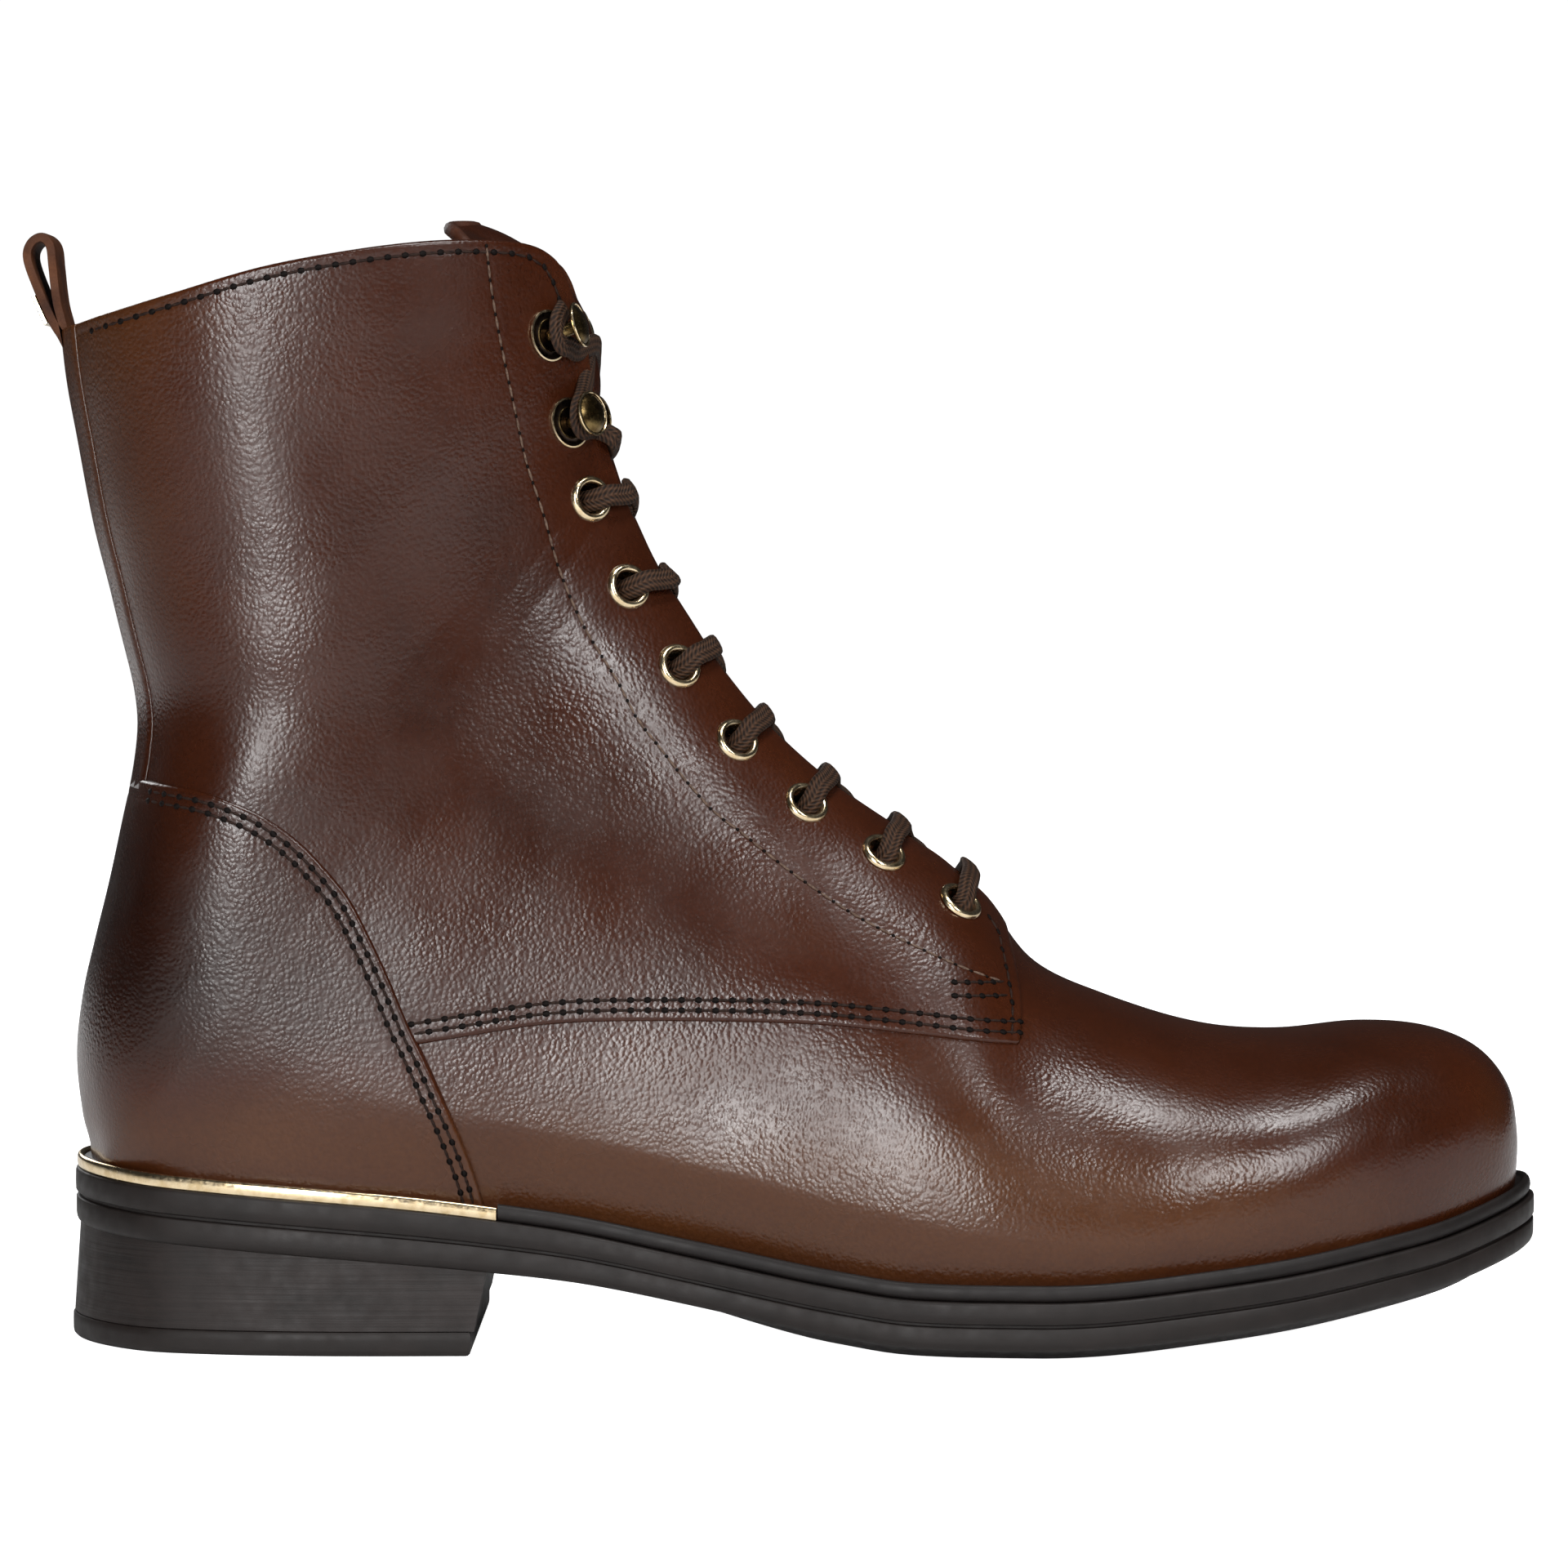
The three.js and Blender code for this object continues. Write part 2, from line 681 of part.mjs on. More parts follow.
// Throat: the slit between the facings, from its end over the vamp to the collar
const throatRow = 10.72;
const throatHalf = (row) => mix(throatWidth, collarThroatWidth, smooth(throatRow, lastRow, row)) / 2;

function turnAtY(row, side, y) {
  return bisect(widestAt, 1, (t) => side * (lastPoint(row, side, t).y - section(row).crest) > y);
}

function throatCutter() {
  const above = 8;
  const below = 9;
  const rounding = [[0, 0.35], [0.08, 0.75], [0.2, 1]];
  const places = rounding.map(([offset, share]) => [throatRow + offset, share]);
  for (let row = Math.ceil(throatRow + 0.3); row <= lastRow; row += 1) places.push([row, 1]);
  const rings = places.map(([row, share]) => {
    const crest = lastPoint(row, LATERAL, 1);
    const normal = lastNormal(row, LATERAL, 1);
    const half = share * throatHalf(row);
    const corner = (side, out) => crest.clone().addScaledVector(normal, out).add(new THREE.Vector3(0, side * half, 0));
    return [
      corner(LATERAL, -below),
      corner(LATERAL, above),
      corner(MEDIAL, above),
      corner(MEDIAL, -below),
    ];
  });
  return solidFrom(stack(rings));
}

// Places along the facings: the station counts lace pitches from the lowest eyelet, and the distance runs from the
// facing's edge round the last
const firstLaceRow = 11.25;
const edgeRows = [];
for (let row = firstLaceRow - 1, length = 0, before = null; row <= lastRow; row += 0.1) {
  const turn = turnAtY(row, LATERAL, throatHalf(row));
  const point = surface(row, LATERAL, turn, quarterStep);
  if (before) length += point.distanceTo(before);
  before = point;
  edgeRows.push({ row, at: length });
}
const rowAtLength = through(edgeRows, "row");
const firstLength = through(edgeRows, "at", "row")(firstLaceRow);

function facingPlace(side, station, distance, out) {
  const row = rowAtLength(firstLength + station * lacePitch);
  const half = throatHalf(row);
  const edgeTurn = turnAtY(row, side, half);
  const edge = surface(row, side, edgeTurn, 0);
  if (distance <= 0) {
    const turn = turnAtY(row, side, half + distance);
    return { at: surface(row, side, turn, out), up: lastNormal(row, side, turn) };
  }
  const turn = bisect(widestAt, edgeTurn, (t) => surface(row, side, t, 0).distanceTo(edge) > distance);
  return { at: surface(row, side, turn, out), up: lastNormal(row, side, turn) };
}

const throatAt = (station) => throatHalf(rowAtLength(firstLength + station * lacePitch));
const marginAt = (station) => mix(lowMargin, topMargin, Math.min(station / (eyeletCount - 1), 1));

const eyeletStations = Array.from({ length: eyeletCount }, (_, i) => i);
const hookPlaces = table(
  ["station", "margin"],
  [eyeletCount - 0.17, 9.6],
  [eyeletCount + 0.72, 11.7],
);

// Turned pieces stand on the facing with their axis along its normal; profile points are [radius, height]
function turned(profile, place, segments) {
  const closed = [...profile, profile[0]].map(([radius, height]) => new THREE.Vector2(radius, height));
  const geometry = new THREE.LatheGeometry(closed, segments);
  geometry.applyQuaternion(new THREE.Quaternion().setFromUnitVectors(new THREE.Vector3(0, 1, 0), place.up));
  geometry.translate(...place.at.toArray());
  return solidOf(geometry);
}

function buildUpper() {
  let outer = lastBody(0);
  const quarters = lastBody(quarterStep).intersect(sidePrism(quarterEdge));
  const rear = lastBody(counterStep);
  outer = outer.add(quarters);
  outer = outer.add(rear.intersect(sidePrism(counterEdge)));
  outer = outer.add(rear.intersect(sidePrism(backStripEdge())));
  const trim = sidePrism([...soleLine(), ...collarLine.toReversed()]);
  let upper = outer.subtract(lastBody(-wall)).intersect(trim).subtract(throatCutter());
  const boreSegments = 8;
  const bore = (eyeletBarrel + gap) / Math.cos(Math.PI / boreSegments);
  for (const side of sides) {
    for (const station of eyeletStations) {
      const place = facingPlace(side, station, marginAt(station), 0);
      upper = upper.subtract(turned([[0, -6], [bore, -6], [bore, 6], [0, 6]], place, boreSegments));
    }
  }
  return upper;
}

// Tongue: a curved sheet under the facings, swelling out between them and bent back over the collar

const tongueShares = [-1, -0.66, -0.3, 0, 0.3, 0.66, 1];
const tongueRows = [9.6, 10.3, 11, 12.5, 14, 15.5, 17, 18.5, 20, 21.5, 23, 24.5, 26, 27, 28, 29, 30];
const bulgeStart = backHeight - 26; // the swelling begins and is full at these heights over the floor
const bulgeFull = backHeight - 8;
const bendHeight = backHeight - 4;
const bendRadius = 25;
const tongueTip = 36; // length of the bent end

function buildTongue() {
  const bulgeAt = (z) => tongueBulge * smooth(bulgeStart, bulgeFull, z);
  const reachAt = (row) => tongueReach * mix(0.6, 1, smooth(9, 14, row)) * mix(1, 0.8, smooth(20, 28, row));
  const tipAt = (share) => tongueTip * Math.sqrt(1 - 0.75 * share ** 4);
  const sheetPoint = (row, share, depth) => {
    const side = share < 0 ? LATERAL : MEDIAL;
    const y = Math.abs(share) * reachAt(row);
    const turn = turnAtY(row, side, y);
    const roll = Math.max(1 - (y / throatHalf(row)) ** 2, 0) ** 2;
    const lift = bulgeAt(lastPoint(row, side, turn).z) * roll;
    const outer = surface(row, side, turn, lift - wall - tongueGap);
    const rise = Math.min(outer.z - bendHeight, tipAt(share));
    if (rise <= 0) return surface(row, side, turn, lift - wall - tongueGap - depth);
    // Over the bend the sheet runs back along an arc
    const angle = rise / bendRadius;
    const radius = bendRadius - depth;
    const x = outer.x - bendRadius + radius * Math.cos(angle);
    return new THREE.Vector3(x, outer.y, bendHeight + radius * Math.sin(angle));
  };
  const rings = tongueRows.map((row) => [
    ...tongueShares.map((share) => sheetPoint(row, share, 0)),
    ...tongueShares.toReversed().map((share) => sheetPoint(row, share, tongueThickness)),
  ]);
  return solidFrom(stack(rings));
}

// Eyelets and lace hooks

const eyeletSeat = quarterStep + gap;
const turnedSegments = 8;

function buildEyelet(side, station) {
  const below = -wall - 0.2;
  const top = eyeletSeat + eyeletHeight;
  const profile = [
    [eyeletBore, below],
    [eyeletBarrel, below],
    [eyeletBarrel, eyeletSeat],
    [eyeletFlange, eyeletSeat],
    [0.84 * eyeletFlange, top],
    [eyeletBore, top - 0.4],
  ];
  return turned(profile, facingPlace(side, station, marginAt(station), 0), turnedSegments);
}

function buildHook(side, { station, margin }) {
  const seat = quarterStep + gap;
  const top = quarterStep + hookReach;
  const profile = [
    [0, seat],
    [hookBase, seat],
    [0.9 * hookBase, seat + 0.7],
    [hookStem, seat + 1],
    [hookStem, top - 1.5],
    [hookHead, top - 1.2],
    [0.72 * hookHead, top - 0.3],
    [0, top],
  ];
  return turned(profile, facingPlace(side, station, margin, 0), turnedSegments);
}

// Lace

const laceSteps = 9;
const hookLaceSteps = 30;

// A flat band along a path of { at, up }, up being the way its flat side faces
function ribbon(path, width, thickness, steps = laceSteps) {
  const line = new THREE.CatmullRomCurve3(path.map((place) => place.at));
  const facing = new THREE.CatmullRomCurve3(path.map((place) => place.up));
  const rings = [];
  for (let i = 0; i <= steps; i += 1) {
    const t = i / steps;
    const at = line.getPoint(t);
    const along = line.getTangent(t);
    const aside = facing.getPoint(t).cross(along).normalize();
    const up = along.clone().cross(aside);
    const corner = (a, b) => at.clone().addScaledVector(aside, (a * width) / 2).addScaledVector(up, (b * thickness) / 2);
    rings.push([corner(-1, -1), corner(1, -1), corner(1, 1), corner(-1, 1)]);
  }
  return solidFrom(stack(rings));
}

const laceOver = quarterStep + gap + laceThickness / 2 + 0.25; // lying on the facings
const laceOnEyelet = eyeletSeat + eyeletHeight + gap + laceThickness / 2 + 0.15;
const laceUnder = -wall - tongueGap / 2; // between the facing and the tongue
const laceCross = -0.9; // in the throat

// From over one facing down through the throat and under the other, one pitch higher
function overAndUnder(side, station) {
  const other = -side;
  const margin = marginAt(station);
  return ribbon(
    [
      facingPlace(side, station + 0.02, margin - 1.5, laceOnEyelet),
      facingPlace(side, station + 0.12, margin - 5.5, laceOnEyelet - 0.3),
      facingPlace(side, station + 0.25, 0.6, laceOver + 0.6),
      facingPlace(side, station + 0.36, -3, laceCross + 1.1),
      facingPlace(side, station + 0.5, -throatAt(station + 0.5), laceCross - 0.6),
      facingPlace(other, station + 0.62, -1.6, laceUnder + 0.2),
      facingPlace(other, station + 0.74, 2, laceUnder),
      facingPlace(other, station + 0.94, margin - 2, laceUnder),
    ],
    laceWidth,
    laceThickness,
  );
}

// The lowest crossing lies under both facings
function underAndUnder(side) {
  const other = -side;
  return ribbon(
    [
      facingPlace(side, 0.1, lowMargin - 2, laceUnder),
      facingPlace(side, 0.3, 1, laceUnder),
      facingPlace(side, 0.5, -throatAt(0.5), laceUnder),
      facingPlace(other, 0.7, 1, laceUnder),
      facingPlace(other, 0.9, lowMargin - 2, laceUnder),
    ],
    laceWidth,
    laceThickness,
    6,
  );
}

function buildBar() {
  return ribbon(
    [
      facingPlace(LATERAL, 0, lowMargin - 1, laceOnEyelet),
      facingPlace(LATERAL, 0, lowMargin - 5.5, laceOnEyelet - 0.2),
      facingPlace(LATERAL, 0, 0.5, laceOver + 0.3),
      facingPlace(LATERAL, 0, -throatAt(0), laceOver + 0.2),
      facingPlace(MEDIAL, 0, 0.5, laceOver + 0.3),
      facingPlace(MEDIAL, 0, lowMargin - 5.5, laceOnEyelet - 0.2),
      facingPlace(MEDIAL, 0, lowMargin - 1, laceOnEyelet),
    ],
    laceWidth,
    laceThickness,
    8,
  );
}

const buildCrossing = (station) =>
  station === 0
    ? underAndUnder(LATERAL).add(underAndUnder(MEDIAL))
    : overAndUnder(LATERAL, station).add(overAndUnder(MEDIAL, station));

// Above the eyelets the lace runs outside, round the stem of each hook
const roundHook = [
  [-0.29, -4.2],
  [-0.25, 0.2],
  [-0.17, 3.2],
  [0, 4.3],
  [0.17, 3.2],
  [0.25, 0.2],
  [0.29, -4.2],
];

function hookLace(side) {
  const other = -side;
  const [lowHook, topHook] = hookPlaces;
  const start = eyeletCount - 1;
  const onHook = quarterStep + gap + 1.9 + laceThickness / 2;
  const wrap = (hookSide, { station, margin }) =>
    roundHook.map(([offset, further]) => facingPlace(hookSide, station + offset, margin + further, onHook));
  const middle = (station) => facingPlace(side, station, -throatAt(station), laceOver + 0.9);
  return ribbon(
    [
      facingPlace(side, start + 0.02, topMargin - 1.5, laceOnEyelet),
      facingPlace(side, start + 0.12, topMargin - 5.5, laceOnEyelet),
      facingPlace(side, start + 0.24, 0.8, laceOver + 0.6),
      middle(start + 0.4),
      ...wrap(other, lowHook),
      middle((lowHook.station + topHook.station) / 2),
      ...wrap(side, topHook).slice(0, -1),
    ],
    laceWidth,
    laceThickness,
    hookLaceSteps,
  );
}

// Pull loop over the back of the collar: its middle line in the side view, from outside the back strip over the top
// to inside the collar, as distances from the back of the collar
const loopLine = [
  [-1, -6],
  [-1.3, -3],
  [-2.1, 1],
  [-3.7, 7.5],
  [-5.2, 12.5],
  [-4.6, 15.7],
  [-2.8, 16.9],
  [-1.1, 15.4],
  [-0.9, 11.5],
  [-0.8, 7.5],
  [0.9, 4.7],
  [4.2, 3.8],
  [6.8, 0],
  [7.3, -7],
];

function buildLoop() {
  const back = boundary(2);
  const path = loopLine.map(([x, z]) => new THREE.Vector3(back.x - counterStep + x, 0, back.y + z));
  const line = new THREE.CatmullRomCurve3(path);
  const steps = 22;
  const rings = [];
  for (let i = 0; i <= steps; i += 1) {
    const at = line.getPoint(i / steps);
    const along = line.getTangent(i / steps);
    const out = new THREE.Vector3(-along.z, 0, along.x);
    const corner = (a, b) =>
      at.clone().addScaledVector(out, (a * loopThickness) / 2).add(new THREE.Vector3(0, (b * loopWidth) / 2, 0));
    rings.push([corner(-1, -1), corner(-1, 1), corner(1, 1), corner(1, -1)]);
  }
  return solidFrom(stack(rings));
}

add("outsole", buildPlate(), soleRubber);
add("heel_block", buildHeelBlock(), soleRubber);
add("heel_top_piece", buildTopLift(), soleRubber);
add("welt", buildWelt(), weltLeather);
add("heel_rim", buildRim(), goldMetal);
add("insole", buildInsole(), lining);
add("upper", buildUpper(), leather);
add("tongue", buildTongue(), leather);
add("pull_loop", buildLoop(), leather);
for (const side of sides) {
  const name = side === LATERAL ? "lateral" : "medial";
  eyeletStations.forEach((station, i) => add(`eyelet_${name}_${i + 1}`, buildEyelet(side, station), goldMetal));
  hookPlaces.forEach((hook, i) => add(`hook_${name}_${i + 1}`, buildHook(side, hook), goldMetal));
}
add("lace_bar", buildBar(), laceCord);
eyeletStations.slice(0, -1).forEach((station, i) => add(`lace_cross_${i + 1}`, buildCrossing(station), laceCord));
add("lace_top", hookLace(LATERAL).add(hookLace(MEDIAL)), laceCord);

// The origin is moved to the floor under the middle of the part
const bounds = new THREE.Box3().setFromObject(root);
const origin = bounds.getCenter(new THREE.Vector3()).setZ(bounds.min.z);
for (const mesh of root.children) mesh.geometry.translate(-origin.x, -origin.y, -origin.z);

export default root;
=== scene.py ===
import bpy
import numpy as np
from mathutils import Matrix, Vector
from mathutils.bvhtree import BVHTree


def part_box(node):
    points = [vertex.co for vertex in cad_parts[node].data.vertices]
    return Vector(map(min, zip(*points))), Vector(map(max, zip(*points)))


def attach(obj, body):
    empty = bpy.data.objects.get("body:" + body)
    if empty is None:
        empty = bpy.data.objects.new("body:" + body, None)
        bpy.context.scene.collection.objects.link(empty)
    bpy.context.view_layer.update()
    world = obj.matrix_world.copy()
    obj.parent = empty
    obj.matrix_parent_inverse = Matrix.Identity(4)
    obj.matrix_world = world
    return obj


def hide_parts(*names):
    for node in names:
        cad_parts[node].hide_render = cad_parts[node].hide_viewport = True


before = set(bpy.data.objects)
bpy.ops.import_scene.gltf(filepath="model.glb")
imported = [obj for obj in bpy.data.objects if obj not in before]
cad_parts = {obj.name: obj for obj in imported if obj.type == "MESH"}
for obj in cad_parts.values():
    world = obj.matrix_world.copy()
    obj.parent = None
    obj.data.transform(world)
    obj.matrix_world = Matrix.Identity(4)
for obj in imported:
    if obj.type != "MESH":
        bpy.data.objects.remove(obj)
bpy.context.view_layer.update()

# Driving sizes, the same as the solids'
SOLE_LENGTH = 282.5
BALL_WIDTH = 100
HEEL_END_RADIUS = 29
TOE_END_RADIUS = 28
TOE_SHIFT = 4
PLATE_THICKNESS = 9.1
SEAT_THICKNESS = 10.6
HEEL_RISE = 18.9
TOE_SPRING = 14.8
EDGE_LIFT = 3.1
COLLAR_HEIGHT = 210
BACK_HEIGHT = 194
WALL = 2
QUARTER_STEP = 0.9
COUNTER_STEP = 1.6
THROAT_WIDTH = 9
COLLAR_THROAT_WIDTH = 19
WELT_INSET = 0.9
WELT_WIDTH = 1.1
STAND_OFF = 2.4
BREAST_PLACE = 81
BREAST_SLOPE = 3
HEEL_FLARE = 1.5
HEEL_INSET = 0.8
LIFT_THICKNESS = 4.6
INSOLE_THICKNESS = 2.6
GAP = 0.3
TONGUE_THICKNESS = 2.2
TONGUE_GAP = 3.2
TONGUE_REACH = 27
TONGUE_BULGE = 5
EYELET_COUNT = 7
LACE_PITCH = 17.5
LOW_MARGIN = 12.4
TOP_MARGIN = 9.2
LACE_WIDTH = 4.2
LACE_THICKNESS = 1.6
LOOP_WIDTH = 13
LOOP_THICKNESS = 2

LATERAL = -1
MEDIAL = 1
SIDES = (LATERAL, MEDIAL)
SIDE_NAMES = {LATERAL: "lateral", MEDIAL: "medial"}


# Tables and curves

def table(names, *rows):
    return {name: np.array([row[i] for row in rows], float) for i, name in enumerate(names.split())}


def cubic(at, values):
    """Cubic through the values, as a function of the place; flat steps at both ends."""
    at = np.asarray(at, float)
    values = np.asarray(values, float)
    index = np.arange(len(at))
    low = np.maximum(index - 1, 0)
    high = np.minimum(index + 1, len(at) - 1)
    slope = (values[high] - values[low]) / (at[high] - at[low])

    def value(place):
        place = np.asarray(place, float)
        i = np.clip(np.searchsorted(at, place, side="left") - 1, 0, len(at) - 2)
        width = at[i + 1] - at[i]
        t = np.clip((place - at[i]) / width, 0, 1)
        return (
            (2 * t**3 - 3 * t**2 + 1) * values[i]
            + (t**3 - 2 * t**2 + t) * width * slope[i]
            + (3 * t**2 - 2 * t**3) * values[i + 1]
            + (t**3 - t**2) * width * slope[i + 1]
        )

    return value


def smooth(low, high, value):
    t = np.clip((np.asarray(value, float) - low) / (high - low), 0, 1)
    return t * t * (3 - 2 * t)


def mix(a, b, share):
    return a + (b - a) * share


def flow(points, steps=10):
    """A smooth line through the points, with the given number of steps between two of them."""
    points = np.asarray(points, float)
    at = np.arange(len(points))
    fine = np.linspace(0, len(points) - 1, (len(points) - 1) * steps + 1)
    return np.stack([cubic(at, points[:, k])(fine) for k in range(points.shape[1])], 1)


def resample(line, pitch):
    """Points along a line, about one pitch apart, with the way the line runs there."""
    step = np.linalg.norm(np.diff(line, axis=0), axis=1)
    at = np.r_[0, np.cumsum(step)]
    count = max(int(round(at[-1] / pitch)), 2)
    places = np.linspace(0, at[-1], count + 1)
    points = np.stack([np.interp(places, at, line[:, k]) for k in range(line.shape[1])], 1)
    along = np.gradient(points, axis=0)
    return points, along / np.linalg.norm(along, axis=1, keepdims=True)


# Sole outline and side view

TURN_TABLE = 4001
outline_rows = table(
    "along lateral medial",
    [0.05, 0.26, 0.26],
    [0.1, 0.311, 0.308],
    [0.17, 0.334, 0.322],
    [0.29, 0.333, 0.299],
    [0.39, 0.346, 0.277],
    [0.46, 0.386, 0.312],
    [0.53, 0.443, 0.378],
    [0.59, 0.479, 0.431],
    [0.64, 0.498, 0.469],
    [0.69, 0.507, 0.493],
    [0.745, 0.499, 0.494],
    [0.8, 0.468, 0.471],
    [0.85, 0.42, 0.429],
    [0.905, 0.345, 0.362],
    [0.95, 0.254, 0.27],
)


def spine(x):
    return TOE_SHIFT * smooth(0.45 * SOLE_LENGTH, SOLE_LENGTH, x)


def fullness_of(name):
    turn = np.arccos(1 - 2 * outline_rows["along"]) / np.pi
    full = outline_rows[name] * BALL_WIDTH / np.sin(np.pi * turn)
    ends = [np.sqrt(radius * SOLE_LENGTH / 2) for radius in (HEEL_END_RADIUS, TOE_END_RADIUS)]
    return cubic(np.r_[0, turn, 1], np.r_[ends[0], full, ends[1]])


fullness = {side: fullness_of(SIDE_NAMES[side]) for side in SIDES}


def edge_point(side, turn):
    x = SOLE_LENGTH * (1 - np.cos(np.pi * turn)) / 2
    return np.stack([x, spine(x) + side * np.sin(np.pi * turn) * fullness[side](turn)], -1)


def outline(side, turn, inset=0.0):
    """Points of the plate's outline, moved in; turn runs from 0 behind the heel to 1 at the toe."""
    step = 1e-3
    turn = np.asarray(turn, float)
    here = edge_point(side, turn)
    along = edge_point(side, np.minimum(turn + step, 1)) - edge_point(side, np.maximum(turn - step, 0))
    along /= np.linalg.norm(along, axis=-1, keepdims=True)
    moved = here + side * inset * np.stack([along[..., 1], -along[..., 0]], -1)
    at_heel = (turn < step)[..., None]
    at_toe = (turn > 1 - step)[..., None]
    moved = np.where(at_heel, here + [inset, 0], moved)
    return np.where(at_toe, here - [inset, 0], moved)


def turn_of_x(side, x):
    turns = np.linspace(0, 1, TURN_TABLE)
    return np.interp(x, np.maximum.accumulate(outline(side, turns)[:, 0]), turns)


profile_rows = table(
    "at heel toe",
    [0, 1, 0],
    [0.14, 0.85, 0],
    [0.22, 0.755, 0],
    [0.285, 0.667, 0],
    [0.35, 0.556, 0],
    [0.42, 0.365, 0],
    [0.49, 0.17, 0],
    [0.525, 0.09, 0],
    [0.56, 0.02, 0],
    [0.6, 0, 0],
    [0.62, 0, 0],
    [0.66, 0, 0],
    [0.7, 0, 0.036],
    [0.755, 0, 0.14],
    [0.826, 0, 0.29],
    [0.89, 0, 0.486],
    [0.93, 0, 0.62],
    [0.97, 0, 0.83],
    [1, 0, 1],
)
heel_share = cubic(profile_rows["at"], profile_rows["heel"])
toe_share = cubic(profile_rows["at"], profile_rows["toe"])


def plate_bottom(x):
    along = np.asarray(x, float) / SOLE_LENGTH
    rise = HEEL_RISE * np.maximum(heel_share(along), 0) + TOE_SPRING * np.maximum(toe_share(along), 0)
    return EDGE_LIFT + rise


def plate_top(x):
    forward = smooth(0.2, 0.42, np.asarray(x) / SOLE_LENGTH)
    return plate_bottom(x) + mix(SEAT_THICKNESS, PLATE_THICKNESS, forward)


# The last

LAST_DROP = 3
FEATHER_INSET = WELT_INSET + WELT_WIDTH + GAP + STAND_OFF
toe_feather = float(outline(LATERAL, 1.0, FEATHER_INSET)[0])
back_feather = float(outline(LATERAL, 0.0, FEATHER_INSET)[0])

back_rows = table(
    "at x",
    [0, back_feather / SOLE_LENGTH],
    [0.045, 0.0152],
    [0.08, 0.0102],
    [0.15, 0.0064],
    [0.22, 0.0108],
    [0.28, 0.0188],
    [0.35, 0.029],
    [0.42, 0.038],
    [0.48, 0.0455],
    [0.53, 0.0488],
    [0.57, 0.0472],
    [0.62, 0.0415],
    [0.69, 0.032],
    [0.77, 0.0203],
    [0.87, 0.0095],
    [0.95, 0.0015],
    [1.1, -0.0065],
    [1.3, -0.0185],
)
back_x = cubic(back_rows["at"], back_rows["x"])
heel_foot = float(plate_top(back_feather)) + GAP - LAST_DROP


def back_line(z):
    return back_x((z - heel_foot) / (BACK_HEIGHT - heel_foot)) * SOLE_LENGTH


def boundary(travel):
    """Lower and rear boundary of the last; travel is 0 at the toe, 1 at the heel, 2 behind the collar."""
    travel = np.asarray(travel, float)
    x = mix(toe_feather, back_feather, np.minimum(travel, 1))
    z = mix(heel_foot, BACK_HEIGHT, travel - 1)
    on_back = travel > 1
    return np.where(on_back, back_line(z), x), np.where(on_back, z, plate_top(x) + GAP - LAST_DROP)


first_x, first_z = boundary(0.0)
section_rows = table(
    "travel crest_x crest_z lateral medial widest arch",
    [0, first_x / SOLE_LENGTH, first_z / COLLAR_HEIGHT, 0, 0, 0.38, 2.2],
    [0.008, 0.987, 0.156, 0.072, 0.072, 0.42, 2.25],
    [0.026, 0.9865, 0.195, 0.14, 0.14, 0.38, 2.3],
    [0.052, 0.98, 0.231, 0.21, 0.212, 0.35, 2.3],
    [0.086, 0.96, 0.262, 0.283, 0.286, 0.33, 2.3],
    [0.126, 0.926, 0.28, 0.35, 0.352, 0.31, 2.25],
    [0.17, 0.881, 0.2845, 0.408, 0.41, 0.29, 2.2],
    [0.22, 0.824, 0.278, 0.448, 0.443, 0.28, 2.12],
    [0.272, 0.765, 0.285, 0.478, 0.468, 0.27, 2.05],
    [0.325, 0.707, 0.309, 0.481, 0.463, 0.26, 2],
    [0.38, 0.655, 0.343, 0.472, 0.445, 0.25, 1.95],
    [0.44, 0.617, 0.408, 0.448, 0.412, 0.24, 1.9],
    [0.505, 0.569, 0.458, 0.412, 0.372, 0.23, 1.88],
    [0.575, 0.52, 0.505, 0.375, 0.338, 0.22, 1.88],
    [0.65, 0.479, 0.555, 0.349, 0.322, 0.21, 1.9],
    [0.73, 0.446, 0.61, 0.332, 0.316, 0.2, 1.92],
    [0.81, 0.4215, 0.664, 0.322, 0.314, 0.19, 1.94],
    [0.885, 0.401, 0.713, 0.316, 0.312, 0.19, 1.96],
    [0.945, 0.388, 0.753, 0.31, 0.308, 0.24, 1.98],
    [1, 0.379, 0.785, 0.308, 0.306, 0.28, 2],
    [1.08, 0.3725, 0.813, 0.307, 0.305, 0.31, 2],
    [1.17, 0.3675, 0.84, 0.306, 0.304, 0.34, 2],
    [1.27, 0.3635, 0.864, 0.306, 0.304, 0.36, 2],
    [1.38, 0.36, 0.886, 0.305, 0.303, 0.4, 2],
    [1.5, 0.357, 0.91, 0.308, 0.306, 0.43, 2],
    [1.62, 0.354, 0.934, 0.315, 0.312, 0.45, 2.02],
    [1.74, 0.351, 0.957, 0.323, 0.32, 0.47, 2.04],
    [1.86, 0.348, 0.98, 0.331, 0.328, 0.48, 2.06],
    [1.97, 0.3455, 1.002, 0.337, 0.334, 0.49, 2.08],
    [2.08, 0.343, 1.024, 0.342, 0.34, 0.5, 2.1],
    [2.22, 0.3395, 1.065, 0.347, 0.345, 0.5, 2.1],
)
LAST_ROW = len(section_rows["travel"]) - 1
column = {name: cubic(np.arange(LAST_ROW + 1), values) for name, values in section_rows.items()}

feather_turns = np.linspace(0, 1, TURN_TABLE)
feather = {}
for side in SIDES:
    edge = outline(side, feather_turns, FEATHER_INSET)
    feather[side] = (np.maximum.accumulate(edge[:, 0]), side * (edge[:, 1] - spine(edge[:, 0])))


